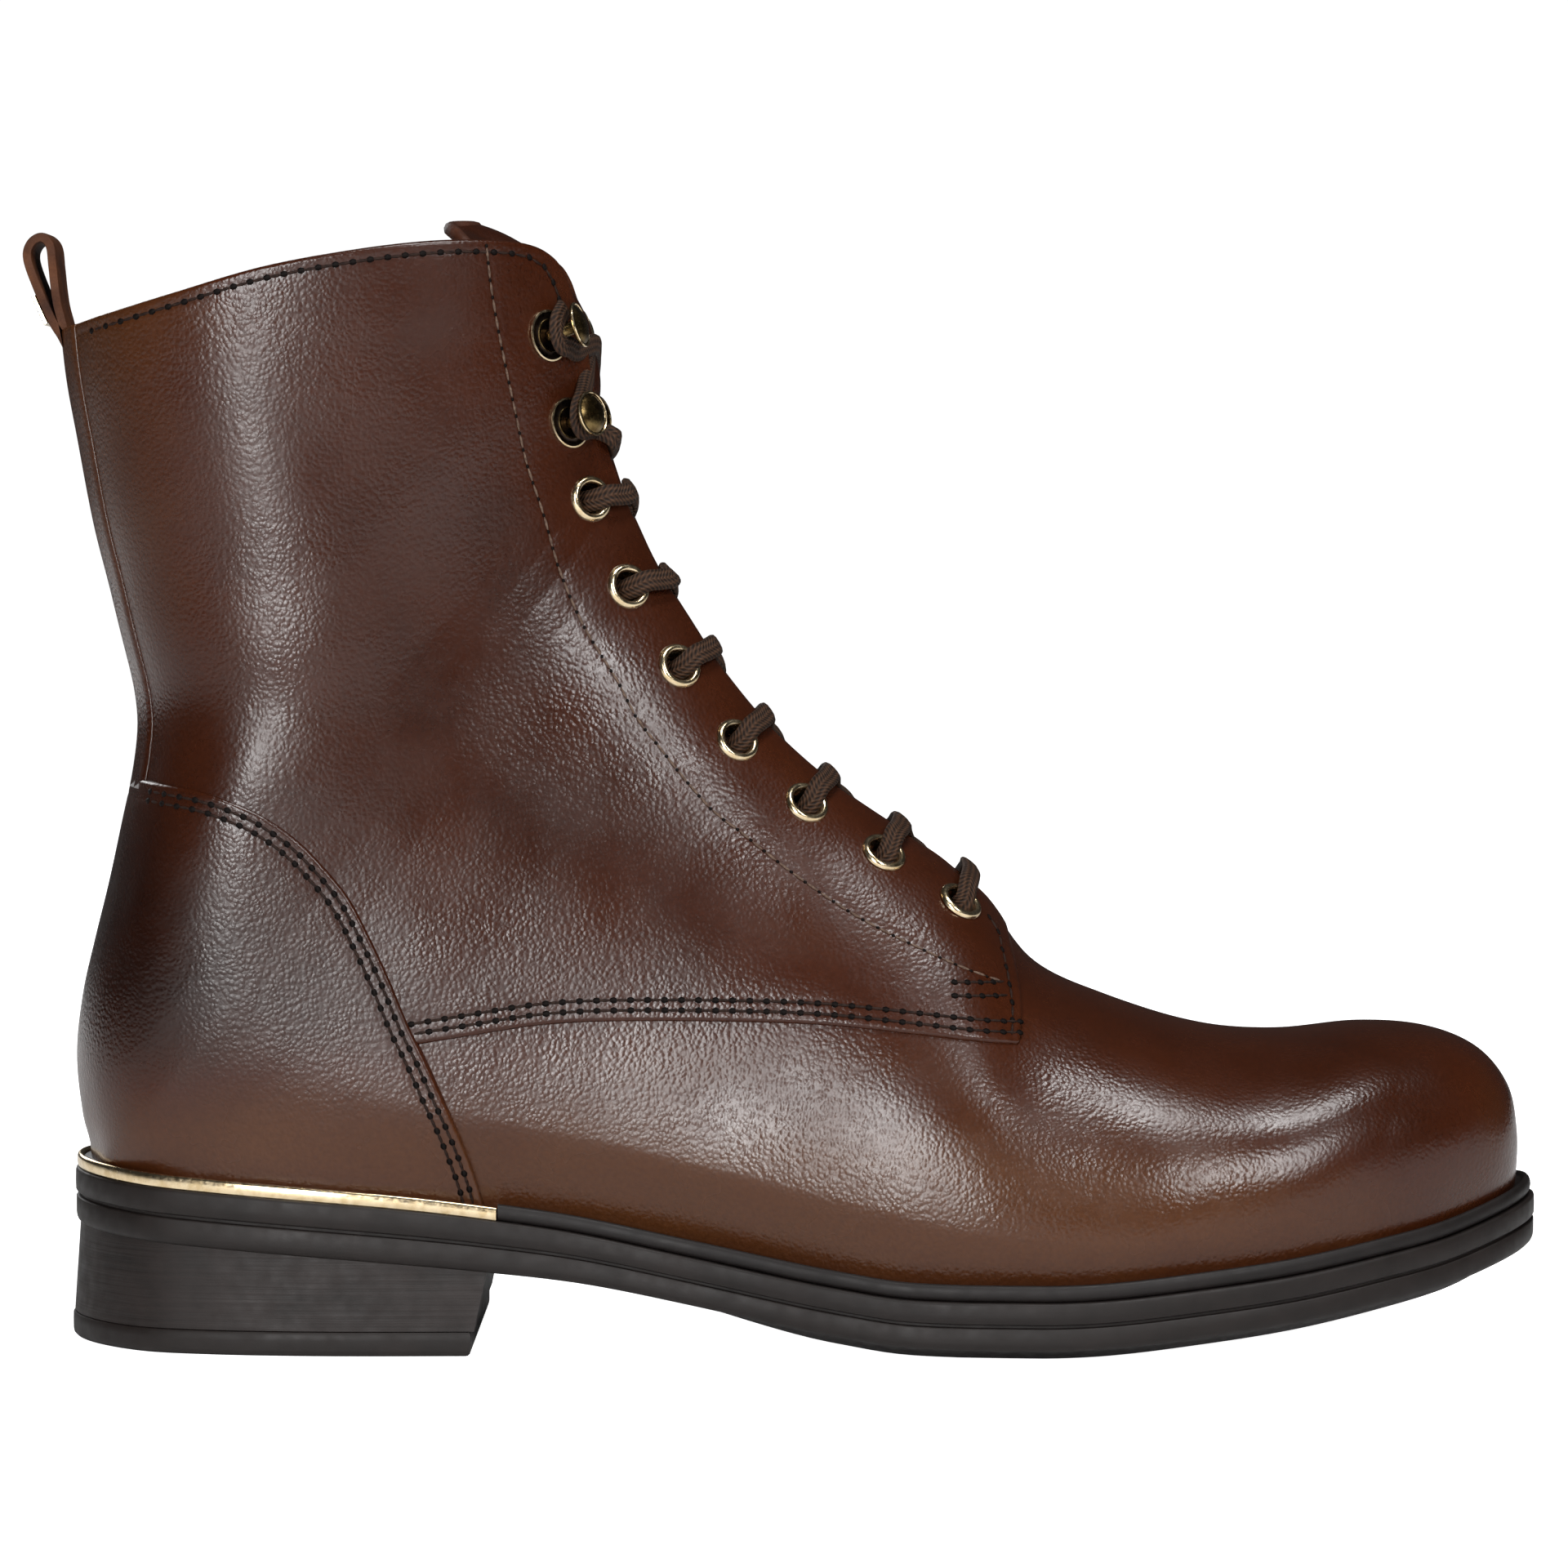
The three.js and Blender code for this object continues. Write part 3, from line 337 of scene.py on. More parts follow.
def section(row):
    travel = column["travel"](row)
    x, z = boundary(travel)
    high_x = column["crest_x"](row) * SOLE_LENGTH
    return {
        "travel": travel,
        "x": x,
        "z": z,
        "run": high_x - x,
        "rise": column["crest_z"](row) * COLLAR_HEIGHT - z,
        "crest": spine(high_x),
        "widest": column["widest"](row),
        "arch": column["arch"](row),
    }


def outline_width(s, side, up):
    x = s["x"] + s["run"] * up
    behind = back_feather + x - back_line(s["z"] + s["rise"] * up)
    place = mix(s["x"], behind, smooth(0.55, 0.85, s["travel"]))
    width = np.maximum(np.interp(place, *feather[side]), 0)
    seam = (s["travel"] == 0) | ((s["travel"] >= 1) & (up == 0))
    return np.where(seam, 0, width)


WIDEST_AT = 0.36


def last_point(row, side, t):
    """Points of the last's surface; t is 0 at the boundary and 1 at the crest."""
    row, t = np.broadcast_arrays(np.asarray(row, float), np.asarray(t, float))
    s = section(row)
    middle = spine(s["x"])
    half = column[SIDE_NAMES[side]](row) * BALL_WIDTH
    reach = np.maximum(half, outline_width(s, side, s["widest"]))
    share = np.minimum(t / WIDEST_AT, 1)
    low_up = s["widest"] * mix(share, 1 - np.cos(share * np.pi / 2), smooth(0.93, 1, s["travel"]))
    low_y = middle + side * mix(outline_width(s, side, low_up), reach, smooth(0.15, 1, share))
    turn = np.clip((t - WIDEST_AT) / (1 - WIDEST_AT), 0, 1) * np.pi / 2
    power = 2 / s["arch"]
    high_up = s["widest"] + (1 - s["widest"]) * np.sin(turn) ** power
    high_y = mix(s["crest"], middle + side * reach, np.maximum(np.cos(turn), 0) ** power)
    up = np.where(t < WIDEST_AT, low_up, high_up)
    y = np.where(t < WIDEST_AT, low_y, high_y)
    return np.stack([s["x"] + s["run"] * up, y, s["z"] + s["rise"] * up], -1)


def unit(v):
    return v / np.maximum(np.linalg.norm(v, axis=-1, keepdims=True), 1e-12)


def last_normal(row, side, t):
    row, t = np.broadcast_arrays(np.asarray(row, float), np.asarray(t, float))
    row_step = 0.05
    turn_step = 0.005
    ahead = last_point(np.minimum(row + row_step, LAST_ROW), side, t)
    rising = ahead - last_point(np.maximum(row - row_step, 0), side, t)
    further = last_point(row, side, np.minimum(t + turn_step, 1))
    over = further - last_point(row, side, np.maximum(t - turn_step, 0))
    normal = unit(-side * np.cross(over, rising))
    flat = np.zeros_like(row)
    at_crest = unit(np.stack([rising[..., 2], flat, -rising[..., 0]], -1))
    normal = np.where((t >= 1)[..., None], at_crest, normal)
    seam = (t <= 0) & (column["travel"](row) >= 1)
    normal = np.where(seam[..., None], -at_crest, normal)
    return np.where((row <= 0)[..., None], [1.0, 0.0, 0.0], normal)


def surface(row, side, t, out):
    return last_point(row, side, t) + last_normal(row, side, t) * np.asarray(out, float)[..., None]


# Places along the facings: stations count lace pitches from the lowest eyelet, distances run from the edge

THROAT_ROW = 10.72
FIRST_LACE_ROW = 11.25


def throat_half(row):
    return mix(THROAT_WIDTH, COLLAR_THROAT_WIDTH, smooth(THROAT_ROW, LAST_ROW, row)) / 2


def bisect(low, high, too_low):
    low = np.array(low, float)
    high = np.array(high, float)
    for _ in range(40):
        middle = (low + high) / 2
        below = too_low(middle)
        low = np.where(below, middle, low)
        high = np.where(below, high, middle)
    return (low + high) / 2


def turn_at_y(row, side, y):
    row, y = np.broadcast_arrays(np.asarray(row, float), np.asarray(y, float))
    crest = section(row)["crest"]
    low = np.full(row.shape, WIDEST_AT)
    return bisect(low, np.ones(row.shape), lambda t: side * (last_point(row, side, t)[..., 1] - crest) > y)


def facing_turn(row, side):
    """The turn at which the facing's edge lies."""
    return turn_at_y(row, side, throat_half(row))


edge_rows = np.arange(FIRST_LACE_ROW - 1, LAST_ROW, 0.1)
edge_out = np.full(len(edge_rows), QUARTER_STEP)
edge_points = surface(edge_rows, LATERAL, facing_turn(edge_rows, LATERAL), edge_out)
edge_length = np.r_[0, np.cumsum(np.linalg.norm(np.diff(edge_points, axis=0), axis=1))]
row_at_length = cubic(edge_length, edge_rows)
first_length = float(cubic(edge_rows, edge_length)(FIRST_LACE_ROW))


def facing_row(station):
    return row_at_length(first_length + np.asarray(station, float) * LACE_PITCH)


def facing_place(side, station, distance, out):
    """Point and outward way at places along a facing; a negative distance lies in the throat."""
    station, distance, out = np.broadcast_arrays(*(np.asarray(v, float) for v in (station, distance, out)))
    row = facing_row(station)
    edge_turn = facing_turn(row, side)
    edge = last_point(row, side, edge_turn)
    inside = turn_at_y(row, side, throat_half(row) + np.minimum(distance, 0))
    beside = bisect(
        np.full(row.shape, WIDEST_AT),
        edge_turn,
        lambda t: np.linalg.norm(last_point(row, side, t) - edge, axis=-1) > distance,
    )
    turn = np.where(distance <= 0, inside, beside)
    return surface(row, side, turn, out), last_normal(row, side, turn)


def throat_at(station):
    return throat_half(facing_row(station))


def margin_at(station):
    return mix(LOW_MARGIN, TOP_MARGIN, np.minimum(np.asarray(station) / (EYELET_COUNT - 1), 1))


# Hooks: where they stand, how far their heads lean in degrees and how far forward they sit
hook_places = table(
    "station margin lean forward",
    [EYELET_COUNT - 0.17, 9.6, 16, 2.6],
    [EYELET_COUNT + 0.72, 11.7, 34, 4.4],
)


# Materials

class Nodes:
    """A material's node tree, with short calls for the nodes that these surfaces use."""

    def __init__(self, name):
        self.material = bpy.data.materials.new(name)
        self.material.use_nodes = True
        self.tree = self.material.node_tree
        self.shader = next(n for n in self.tree.nodes if n.type == "BSDF_PRINCIPLED")
        self.place = self.tree.nodes.new("ShaderNodeTexCoord").outputs["Object"]

    def link(self, value, socket):
        if isinstance(value, bpy.types.NodeSocket):
            self.tree.links.new(value, socket)
        else:
            socket.default_value = value

    def node(self, kind, **sockets):
        node = self.tree.nodes.new(kind)
        for name, value in sockets.items():
            self.link(value, node.inputs[name.replace("_", " ")])
        return node

    def noise(self, size, detail=3, place=None):
        """Noise with features of the given size in millimetres."""
        place = place or self.place
        return self.node("ShaderNodeTexNoise", Scale=1000 / size, Detail=detail, Vector=place).outputs["Fac"]

    def cells(self, size, place=None):
        """Distances from the middles of cells of the given size in millimetres."""
        place = place or self.place
        return self.node("ShaderNodeTexVoronoi", Scale=1000 / size, Vector=place).outputs["Distance"]

    def math(self, operation, a, b=0.0, kind="ShaderNodeMath"):
        made = self.tree.nodes.new(kind)
        made.operation = operation
        self.link(a, made.inputs[0])
        self.link(b, made.inputs[1])
        return made.outputs[0]

    def spread(self, value, low, high, to_low=0.0, to_high=1.0):
        """A value carried from one range over to another."""
        ranges = {"From_Min": low, "From_Max": high, "To_Min": to_low, "To_Max": to_high}
        return self.node("ShaderNodeMapRange", Value=value, **ranges).outputs["Result"]

    def blend(self, share, a, b, kind="MIX"):
        made = self.tree.nodes.new("ShaderNodeMix")
        made.data_type = "RGBA"
        made.blend_type = kind
        self.link(share, made.inputs[0])
        self.link(a, made.inputs[6])
        self.link(b, made.inputs[7])
        return made.outputs[2]

    def attribute(self, name):
        made = self.tree.nodes.new("ShaderNodeAttribute")
        made.attribute_name = name
        return made.outputs["Fac"]

    def bump(self, height, distance, strength=1.0, after=None):
        """Bump with a height of the given number of millimetres."""
        made = self.node("ShaderNodeBump", Strength=strength, Distance=distance / 1000, Height=height)
        if after:
            self.link(after, made.inputs["Normal"])
        return made.outputs["Normal"]

    def finish(self, color, roughness, normal=None, **plain):
        self.link(color, self.shader.inputs["Base Color"])
        self.link(roughness, self.shader.inputs["Roughness"])
        if normal:
            self.link(normal, self.shader.inputs["Normal"])
        for name, value in plain.items():
            self.shader.inputs[name.replace("_", " ")].default_value = value
        return self.material


def rgb(red, green, blue):
    """A colour given as it shows on a screen, 0 to 255."""
    share = np.array([red, green, blue]) / 255
    linear = np.where(share <= 0.04045, share / 12.92, ((share + 0.055) / 1.055) ** 2.4)
    return (*linear, 1.0)


LEATHER_GLOSS = 0.26
PEBBLE_SIZE = 0.85
WRINKLE_SIZE = 0.9
GRAIN_DEPTH = 0.075
SWELL_DEPTH = 0.08
SPECK_TINT = (0.45, 0.4, 0.38, 1)
STIR_SCALE = 260.0
STIR_REACH = (0.0011, 0.0011, 0.0011)


def burnish_and_bounce_color(n, deep, warm, tan):
    """Leather's colour: tone 0 is the deep colour, 0.5 the warm one and 1 the tan one, with fine specks; the
    lighter tone low along the sole is painted bounce light.
    """
    cloud = n.spread(n.noise(22, detail=4), 0.3, 0.7, -0.1, 0.1)
    tone = n.math("ADD", n.attribute("tone"), cloud)
    low = n.blend(n.spread(tone, 0.0, 0.5), deep, warm)
    color = n.blend(n.spread(tone, 0.5, 1.0), low, tan)
    speck = n.spread(n.noise(0.9, detail=2), 0.35, 0.75, 0.0, 0.35)
    return n.blend(speck, color, n.blend(1.0, color, SPECK_TINT, "MULTIPLY"))


def grain(n):
    """Leather's fine height: pebbles and wrinkles at stirred places, stronger in some patches."""
    vector = "ShaderNodeVectorMath"
    stir = n.node("ShaderNodeTexNoise", Vector=n.place, Scale=STIR_SCALE).outputs["Color"]
    place = n.math("ADD", n.place, n.math("MULTIPLY", stir, STIR_REACH, vector), vector)
    pebble = n.spread(n.cells(PEBBLE_SIZE, place), 0.1, 0.75, 1.0, 0.0)
    wrinkle = n.noise(WRINKLE_SIZE, place=place)
    height = n.math("ADD", n.math("MULTIPLY", pebble, 0.7), n.math("MULTIPLY", wrinkle, 0.6))
    return n.math("MULTIPLY", height, n.spread(n.noise(30, detail=2), 0.35, 0.65, 0.5, 1.0))


def leather(name, deep, warm, tan):
    """Burnished smooth leather, with painted bounce light low along the sole through its tone."""
    n = Nodes(name)
    swell = n.bump(n.noise(15, detail=2), SWELL_DEPTH, 0.4)
    normal = n.bump(grain(n), GRAIN_DEPTH, 0.9, after=swell)
    roughness = n.spread(n.noise(14), 0.3, 0.7, LEATHER_GLOSS - 0.04, LEATHER_GLOSS + 0.05)
    return n.finish(burnish_and_bounce_color(n, deep, warm, tan), roughness, normal, Specular_IOR_Level=0.38)


def plain_leather(name, color, other, size=1.4, roughness=0.7):
    """Unburnished leather with a grain of the given size in millimetres."""
    n = Nodes(name)
    shade = n.blend(n.spread(n.noise(6, detail=5), 0.3, 0.7), color, other)
    normal = n.bump(n.math("ADD", n.cells(size), n.noise(0.5)), 0.12, 0.6)
    worn = n.spread(n.noise(4), 0.3, 0.7, roughness - 0.08, roughness + 0.08)
    return n.finish(shade, worn, normal, Specular_IOR_Level=0.22)


def rubber(name, color, other, lines=0.0):
    """Matt sole material; lines is the depth of fine level lines in millimetres."""
    n = Nodes(name)
    shade = n.blend(n.spread(n.noise(7, detail=6), 0.3, 0.7), color, other)
    normal = n.bump(n.noise(0.35, detail=4), 0.03, 0.5)
    if lines:
        level = n.node("ShaderNodeMapping", Vector=n.place, Scale=(25.0, 25.0, 1500.0)).outputs[0]
        layer = n.node("ShaderNodeTexNoise", Vector=level, Scale=1.0, Detail=3.0).outputs["Fac"]
        normal = n.bump(layer, lines, 0.7, after=normal)
        shade = n.blend(n.spread(layer, 0.42, 0.62, 0.0, 0.5), shade, other)
    return n.finish(shade, n.spread(n.noise(3), 0.3, 0.7, 0.46, 0.6), normal, Specular_IOR_Level=0.28)


def metal(name, color, other, roughness):
    n = Nodes(name)
    shade = n.blend(n.spread(n.noise(1.8, detail=4), 0.4, 0.65), color, other)
    worn = n.spread(n.noise(0.8, detail=5), 0.3, 0.75, roughness - 0.06, roughness + 0.1)
    return n.finish(shade, worn, n.bump(n.noise(2.2, detail=2), 0.03, 0.4), Metallic=1.0)


def woven(name, color, other):
    """Waxed lace: diagonal yarns that cross along the middle, from coordinates along and across the band;
    darker in the weave's hollows as painted shade.
    """
    n = Nodes(name)
    along = n.attribute("along")
    across = n.math("ABSOLUTE", n.attribute("across"))
    slant = n.math("ADD", along, n.math("MULTIPLY", across, 0.9))
    yarn = n.math("SINE", n.math("MULTIPLY", slant, 7.2))
    rib = n.math("COSINE", n.math("MULTIPLY", n.attribute("across"), 5.4))
    height = n.math("ADD", n.math("MULTIPLY", yarn, 0.5), n.math("MULTIPLY", rib, 0.45))
    fuzz = n.noise(0.35, detail=5)
    height = n.math("ADD", height, n.math("MULTIPLY", fuzz, 0.8))
    # Colour follows the weave's height: painted shade in the hollows between the yarns, lighter crests, and
    # random fuzz tone
    shade = n.blend(n.spread(height, -0.4, 1.3), color, other)
    worn = n.spread(fuzz, 0.3, 0.7, 0.6, 0.8)
    return n.finish(shade, worn, n.bump(height, 0.17, 0.9), Specular_IOR_Level=0.2)


def thread(name, color, other):
    n = Nodes(name)
    shade = n.blend(n.spread(n.noise(0.6), 0.35, 0.65), color, other)
    return n.finish(shade, 0.7, n.bump(n.noise(0.25, detail=3), 0.05, 0.6), Specular_IOR_Level=0.12)


upper_leather = leather("upper_leather", rgb(29, 9, 3), rgb(56, 24, 9), rgb(73, 41, 19))
dark_edge = plain_leather("edge_leather", rgb(44, 22, 14), rgb(70, 38, 24), roughness=0.55)
lining_leather = plain_leather("lining_leather", rgb(140, 98, 80), rgb(158, 116, 96), roughness=0.75)
insole_leather = plain_leather("insole_leather", rgb(134, 96, 76), rgb(150, 110, 88), roughness=0.7)
sole_rubber = rubber("sole_rubber", rgb(20, 15, 13), rgb(28, 22, 20))
heel_rubber = rubber("heel_rubber", rgb(21, 16, 14), rgb(34, 27, 25), lines=0.12)
welt_rubber = rubber("welt_rubber", rgb(18, 14, 13), rgb(26, 21, 20))
gold = metal("pale_gold", rgb(232, 212, 176), rgb(212, 188, 146), 0.2)
antique = metal("antique_brass", rgb(128, 108, 70), rgb(84, 66, 40), 0.24)
dark_metal = metal("dark_metal", rgb(70, 58, 50), rgb(50, 40, 34), 0.3)
lace_cord = woven("lace_cord", rgb(18, 10, 6), rgb(72, 49, 34))
dark_thread = thread("dark_thread", rgb(24, 14, 11), rgb(44, 30, 24))
soft_thread = thread("soft_thread", rgb(70, 54, 45), rgb(102, 84, 72))
# Near black: the painted shade inside the stitch holes
hole_shade = thread("hole_shade", rgb(7, 3, 2), rgb(12, 6, 4))
strap_leather = plain_leather("strap_leather", rgb(46, 22, 10), rgb(84, 48, 26), size=0.8, roughness=0.7)


# Meshes

plate_low, plate_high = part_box("outsole")
floor_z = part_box("heel_top_piece")[0].z
own_turns = np.linspace(0, 1, 2001)
own_low_y = edge_point(LATERAL, own_turns)[:, 1].min()
own_high_y = edge_point(MEDIAL, own_turns)[:, 1].max()
shift_y = 500 * (plate_low.y + plate_high.y) - (own_low_y + own_high_y) / 2
frame_shift = np.array([1000 * plate_low.x, shift_y, 1000 * floor_z])


def to_frame(points):
    return (np.asarray(points, float) + frame_shift) / 1000


def make(name, points, faces, material, slot, replaces=(), attributes=None, crease=None):
    mesh = bpy.data.meshes.new(name)
    mesh.from_pydata(to_frame(points).tolist(), [], [list(map(int, face)) for face in faces])
    for key, values in (attributes or {}).items():
        layer = mesh.attributes.new(key, "FLOAT", "POINT")
        layer.data.foreach_set("value", np.asarray(values, np.float32))
    mesh.polygons.foreach_set("use_smooth", np.ones(len(mesh.polygons), bool))
    if crease:
        mesh.set_sharp_from_angle(angle=np.radians(crease))
    mesh.materials.append(material)
    mesh.update()
    made = bpy.data.objects.new(name, mesh)
    bpy.context.scene.collection.objects.link(made)
    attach(made, "root")
    if replaces:
        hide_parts(*replaces)
    return made


def ring_faces(count, rings, closed=True):
    """Quads between rings of equally many points."""
    last = count if closed else count - 1
    faces = []
    for i in range(rings - 1):
        for k in range(last):
            a = i * count + k
            b = i * count + (k + 1) % count
            faces.append((a, b, b + count, a + count))
    return faces


def stack(rings):
    """Points and faces of closed rings of equally many points, filled at both ends."""
    count = len(rings[0])
    faces = ring_faces(count, len(rings))
    faces.append(tuple(reversed(range(count))))
    faces.append(tuple(range((len(rings) - 1) * count, len(rings) * count)))
    return np.concatenate(rings), faces


def join(parts):
    """Several lists of points and faces as one."""
    points, faces, base = [], [], 0
    for some_points, some_faces in parts:
        points.append(some_points)
        faces += [tuple(i + base for i in face) for face in some_faces]
        base += len(some_points)
    return np.concatenate(points), faces


# Panels of the upper: a fine sheet over the last, cut along lines in the side view

def in_side_view(rows):
    return np.array(rows, float) * [SOLE_LENGTH, COLLAR_HEIGHT]


FAR = 1.2
collar_shares = [
    [-0.08, -0.12], [-0.012, -0.05], [0.03, 0.094], [0.08, 0.331], [0.14, 0.632], [0.2, 0.829],
    [0.255, 0.947], [0.295, 0.965], [0.316, 0.92], [0.329, 0.79], [0.336, 0.61], [0.3405, 0.4],
    [0.345, 0.15],
]
collar_line = flow([[x * SOLE_LENGTH, mix(BACK_HEIGHT, COLLAR_HEIGHT, share)] for x, share in collar_shares])
collar_edge = np.concatenate([
    collar_line, in_side_view([[0.4, 0.9], [FAR, 0.9], [FAR, -FAR], [-FAR, -FAR], [-FAR, 0.9]])
])
quarter_front = flow(in_side_view([
    [0.52, 0.545], [0.565, 0.475], [0.592, 0.435], [0.612, 0.412], [0.626, 0.395], [0.634, 0.38],
    [0.6375, 0.36], [0.641, 0.335], [0.643, 0.31], [0.6415, 0.285],
]))
quarter_bottom = flow(in_side_view([
    [0.6405, 0.28], [0.61, 0.284], [0.57, 0.2905], [0.5, 0.299], [0.4, 0.301], [0.33, 0.298], [0.27, 0.286],
    [0.22, 0.275], [0.15, 0.26],
]))
quarter_edge = np.concatenate([
    quarter_front, quarter_bottom, in_side_view([[-FAR, 0.26], [-FAR, FAR], [FAR, FAR], [FAR, 0.6]])
])
counter_front = flow(in_side_view([
    [-0.02, 0.514], [0.04, 0.513], [0.09, 0.507], [0.117, 0.497], [0.14, 0.483], [0.162, 0.462],
    [0.18, 0.437], [0.196, 0.41], [0.209, 0.377], [0.222, 0.34], [0.235, 0.298], [0.246, 0.268],
    [0.257, 0.235],
    [0.27, 0.195], [0.283, 0.14], [0.294, 0.06],
]))
counter_edge = np.concatenate([counter_front, in_side_view([[0.29, -0.1], [-FAR, -0.1], [-FAR, 0.514]])])
facing_seam = flow(in_side_view([
    [0.2873, 0.992], [0.29, 0.957], [0.2954, 0.912], [0.3058, 0.842], [0.3123, 0.8], [0.3237, 0.752],
    [0.334, 0.703], [0.3503, 0.652], [0.3731, 0.602], [0.3856, 0.57], [0.403, 0.54],
    [0.4177, 0.515], [0.4378, 0.485],
    [0.4519, 0.471], [0.484, 0.437], [0.5182, 0.405], [0.5492, 0.381], [0.5986, 0.35], [0.6307, 0.333],
]))


def beside(line, distance):
    """A line in the side view moved to its left by a distance."""
    along = np.gradient(line, axis=0)
    along /= np.linalg.norm(along, axis=1, keepdims=True)
    return line + distance * np.stack([-along[:, 1], along[:, 0]], 1)


def signed(x, z, polygon):
    """Distance from a closed outline in the side view, positive inside it."""
    nearest = np.full(x.shape, np.inf)
    inside = np.zeros(x.shape, bool)
    for (ax, az), (bx, bz) in zip(polygon, np.roll(polygon, -1, axis=0)):
        run, rise = bx - ax, bz - az
        length = run * run + rise * rise
        if length < 1e-12:
            continue
        t = np.clip(((x - ax) * run + (z - az) * rise) / length, 0, 1)
        nearest = np.minimum(nearest, (x - ax - t * run) ** 2 + (z - az - t * rise) ** 2)
        if az != bz:
            crosses = (az > z) != (bz > z)
            inside ^= crosses & (x < ax + (z - az) * run / rise)
    return np.where(inside, 1, -1) * np.sqrt(nearest)


def from_line(x, z, line):
    """Distance from an open line in the side view, and the share of its length where it is nearest."""
    nearest = np.full(x.shape, np.inf)
    share = np.zeros(x.shape)
    for i, ((ax, az), (bx, bz)) in enumerate(zip(line[:-1], line[1:])):
        run, rise = bx - ax, bz - az
        t = np.clip(((x - ax) * run + (z - az) * rise) / (run * run + rise * rise), 0, 1)
        distance = (x - ax - t * run) ** 2 + (z - az - t * rise) ** 2
        closer = distance < nearest
        nearest = np.where(closer, distance, nearest)
        share = np.where(closer, (i + t) / (len(line) - 1), share)
    return np.sqrt(nearest), share


def evened(row, side, t):
    """Points of the last with the faint crease evened out that runs up from its heel corner."""
    points = last_point(row, side, t)
    between_rows = smooth(14.5, 17, row) * (1 - smooth(21.5, 24, row))
    share = between_rows * smooth(0.12, 0.4, t) * (1 - smooth(0.7, 0.86, t))
    near = share > 0
    weights = np.array([1, 6, 15, 20, 15, 6, 1]) / 64
    steps = 0.9 * np.arange(-3, 4)
    soft = sum(weight * last_point(row[near] + step, side, t[near]) for weight, step in zip(weights, steps))
    points[near] += (soft - points[near]) * share[near][:, None]
    return points


def place_on(row, turn):
    """Points and normals for signed turns: -1 at the outer boundary, 0 at the crest, 1 at the inner one."""
    t = 1 - np.abs(turn)
    points = np.where((turn < 0)[:, None], evened(row, LATERAL, t), evened(row, MEDIAL, t))
    normals = np.where((turn < 0)[:, None], last_normal(row, LATERAL, t), last_normal(row, MEDIAL, t))
    return points, normals


throat_rows = np.linspace(0, LAST_ROW, 901)
throat_edges = {side: last_point(throat_rows, side, facing_turn(throat_rows, side)) for side in SIDES}


def from_throat(row, turn, points):
    """Distance from the facing's edge round the last, negative in the throat."""
    crest = section(row)["crest"]
    beside = np.abs(points[:, 1] - crest) > throat_half(row)
    distance = np.zeros(len(row))
    for side in SIDES:
        edge = np.stack([np.interp(row, throat_rows, throat_edges[side][:, k]) for k in range(3)], 1)
        mine = (turn < 0) == (side == LATERAL)
        distance = np.where(mine, np.linalg.norm(points - edge, axis=1), distance)
    return np.where(beside, 1, -1) * distance


BACK_STRIP_DEPTH = 3.6
SOLE_SEAM_DROP = 1.0


def strip_depth(points):
    return BACK_STRIP_DEPTH - (points[:, 0] - back_line(points[:, 2]))


bores = np.concatenate([
    facing_place(side, np.arange(EYELET_COUNT), margin_at(np.arange(EYELET_COUNT)), 0)[0] for side in SIDES
])


def from_bores(points):
    return np.min([np.linalg.norm(points - bore, axis=1) for bore in bores], axis=0)


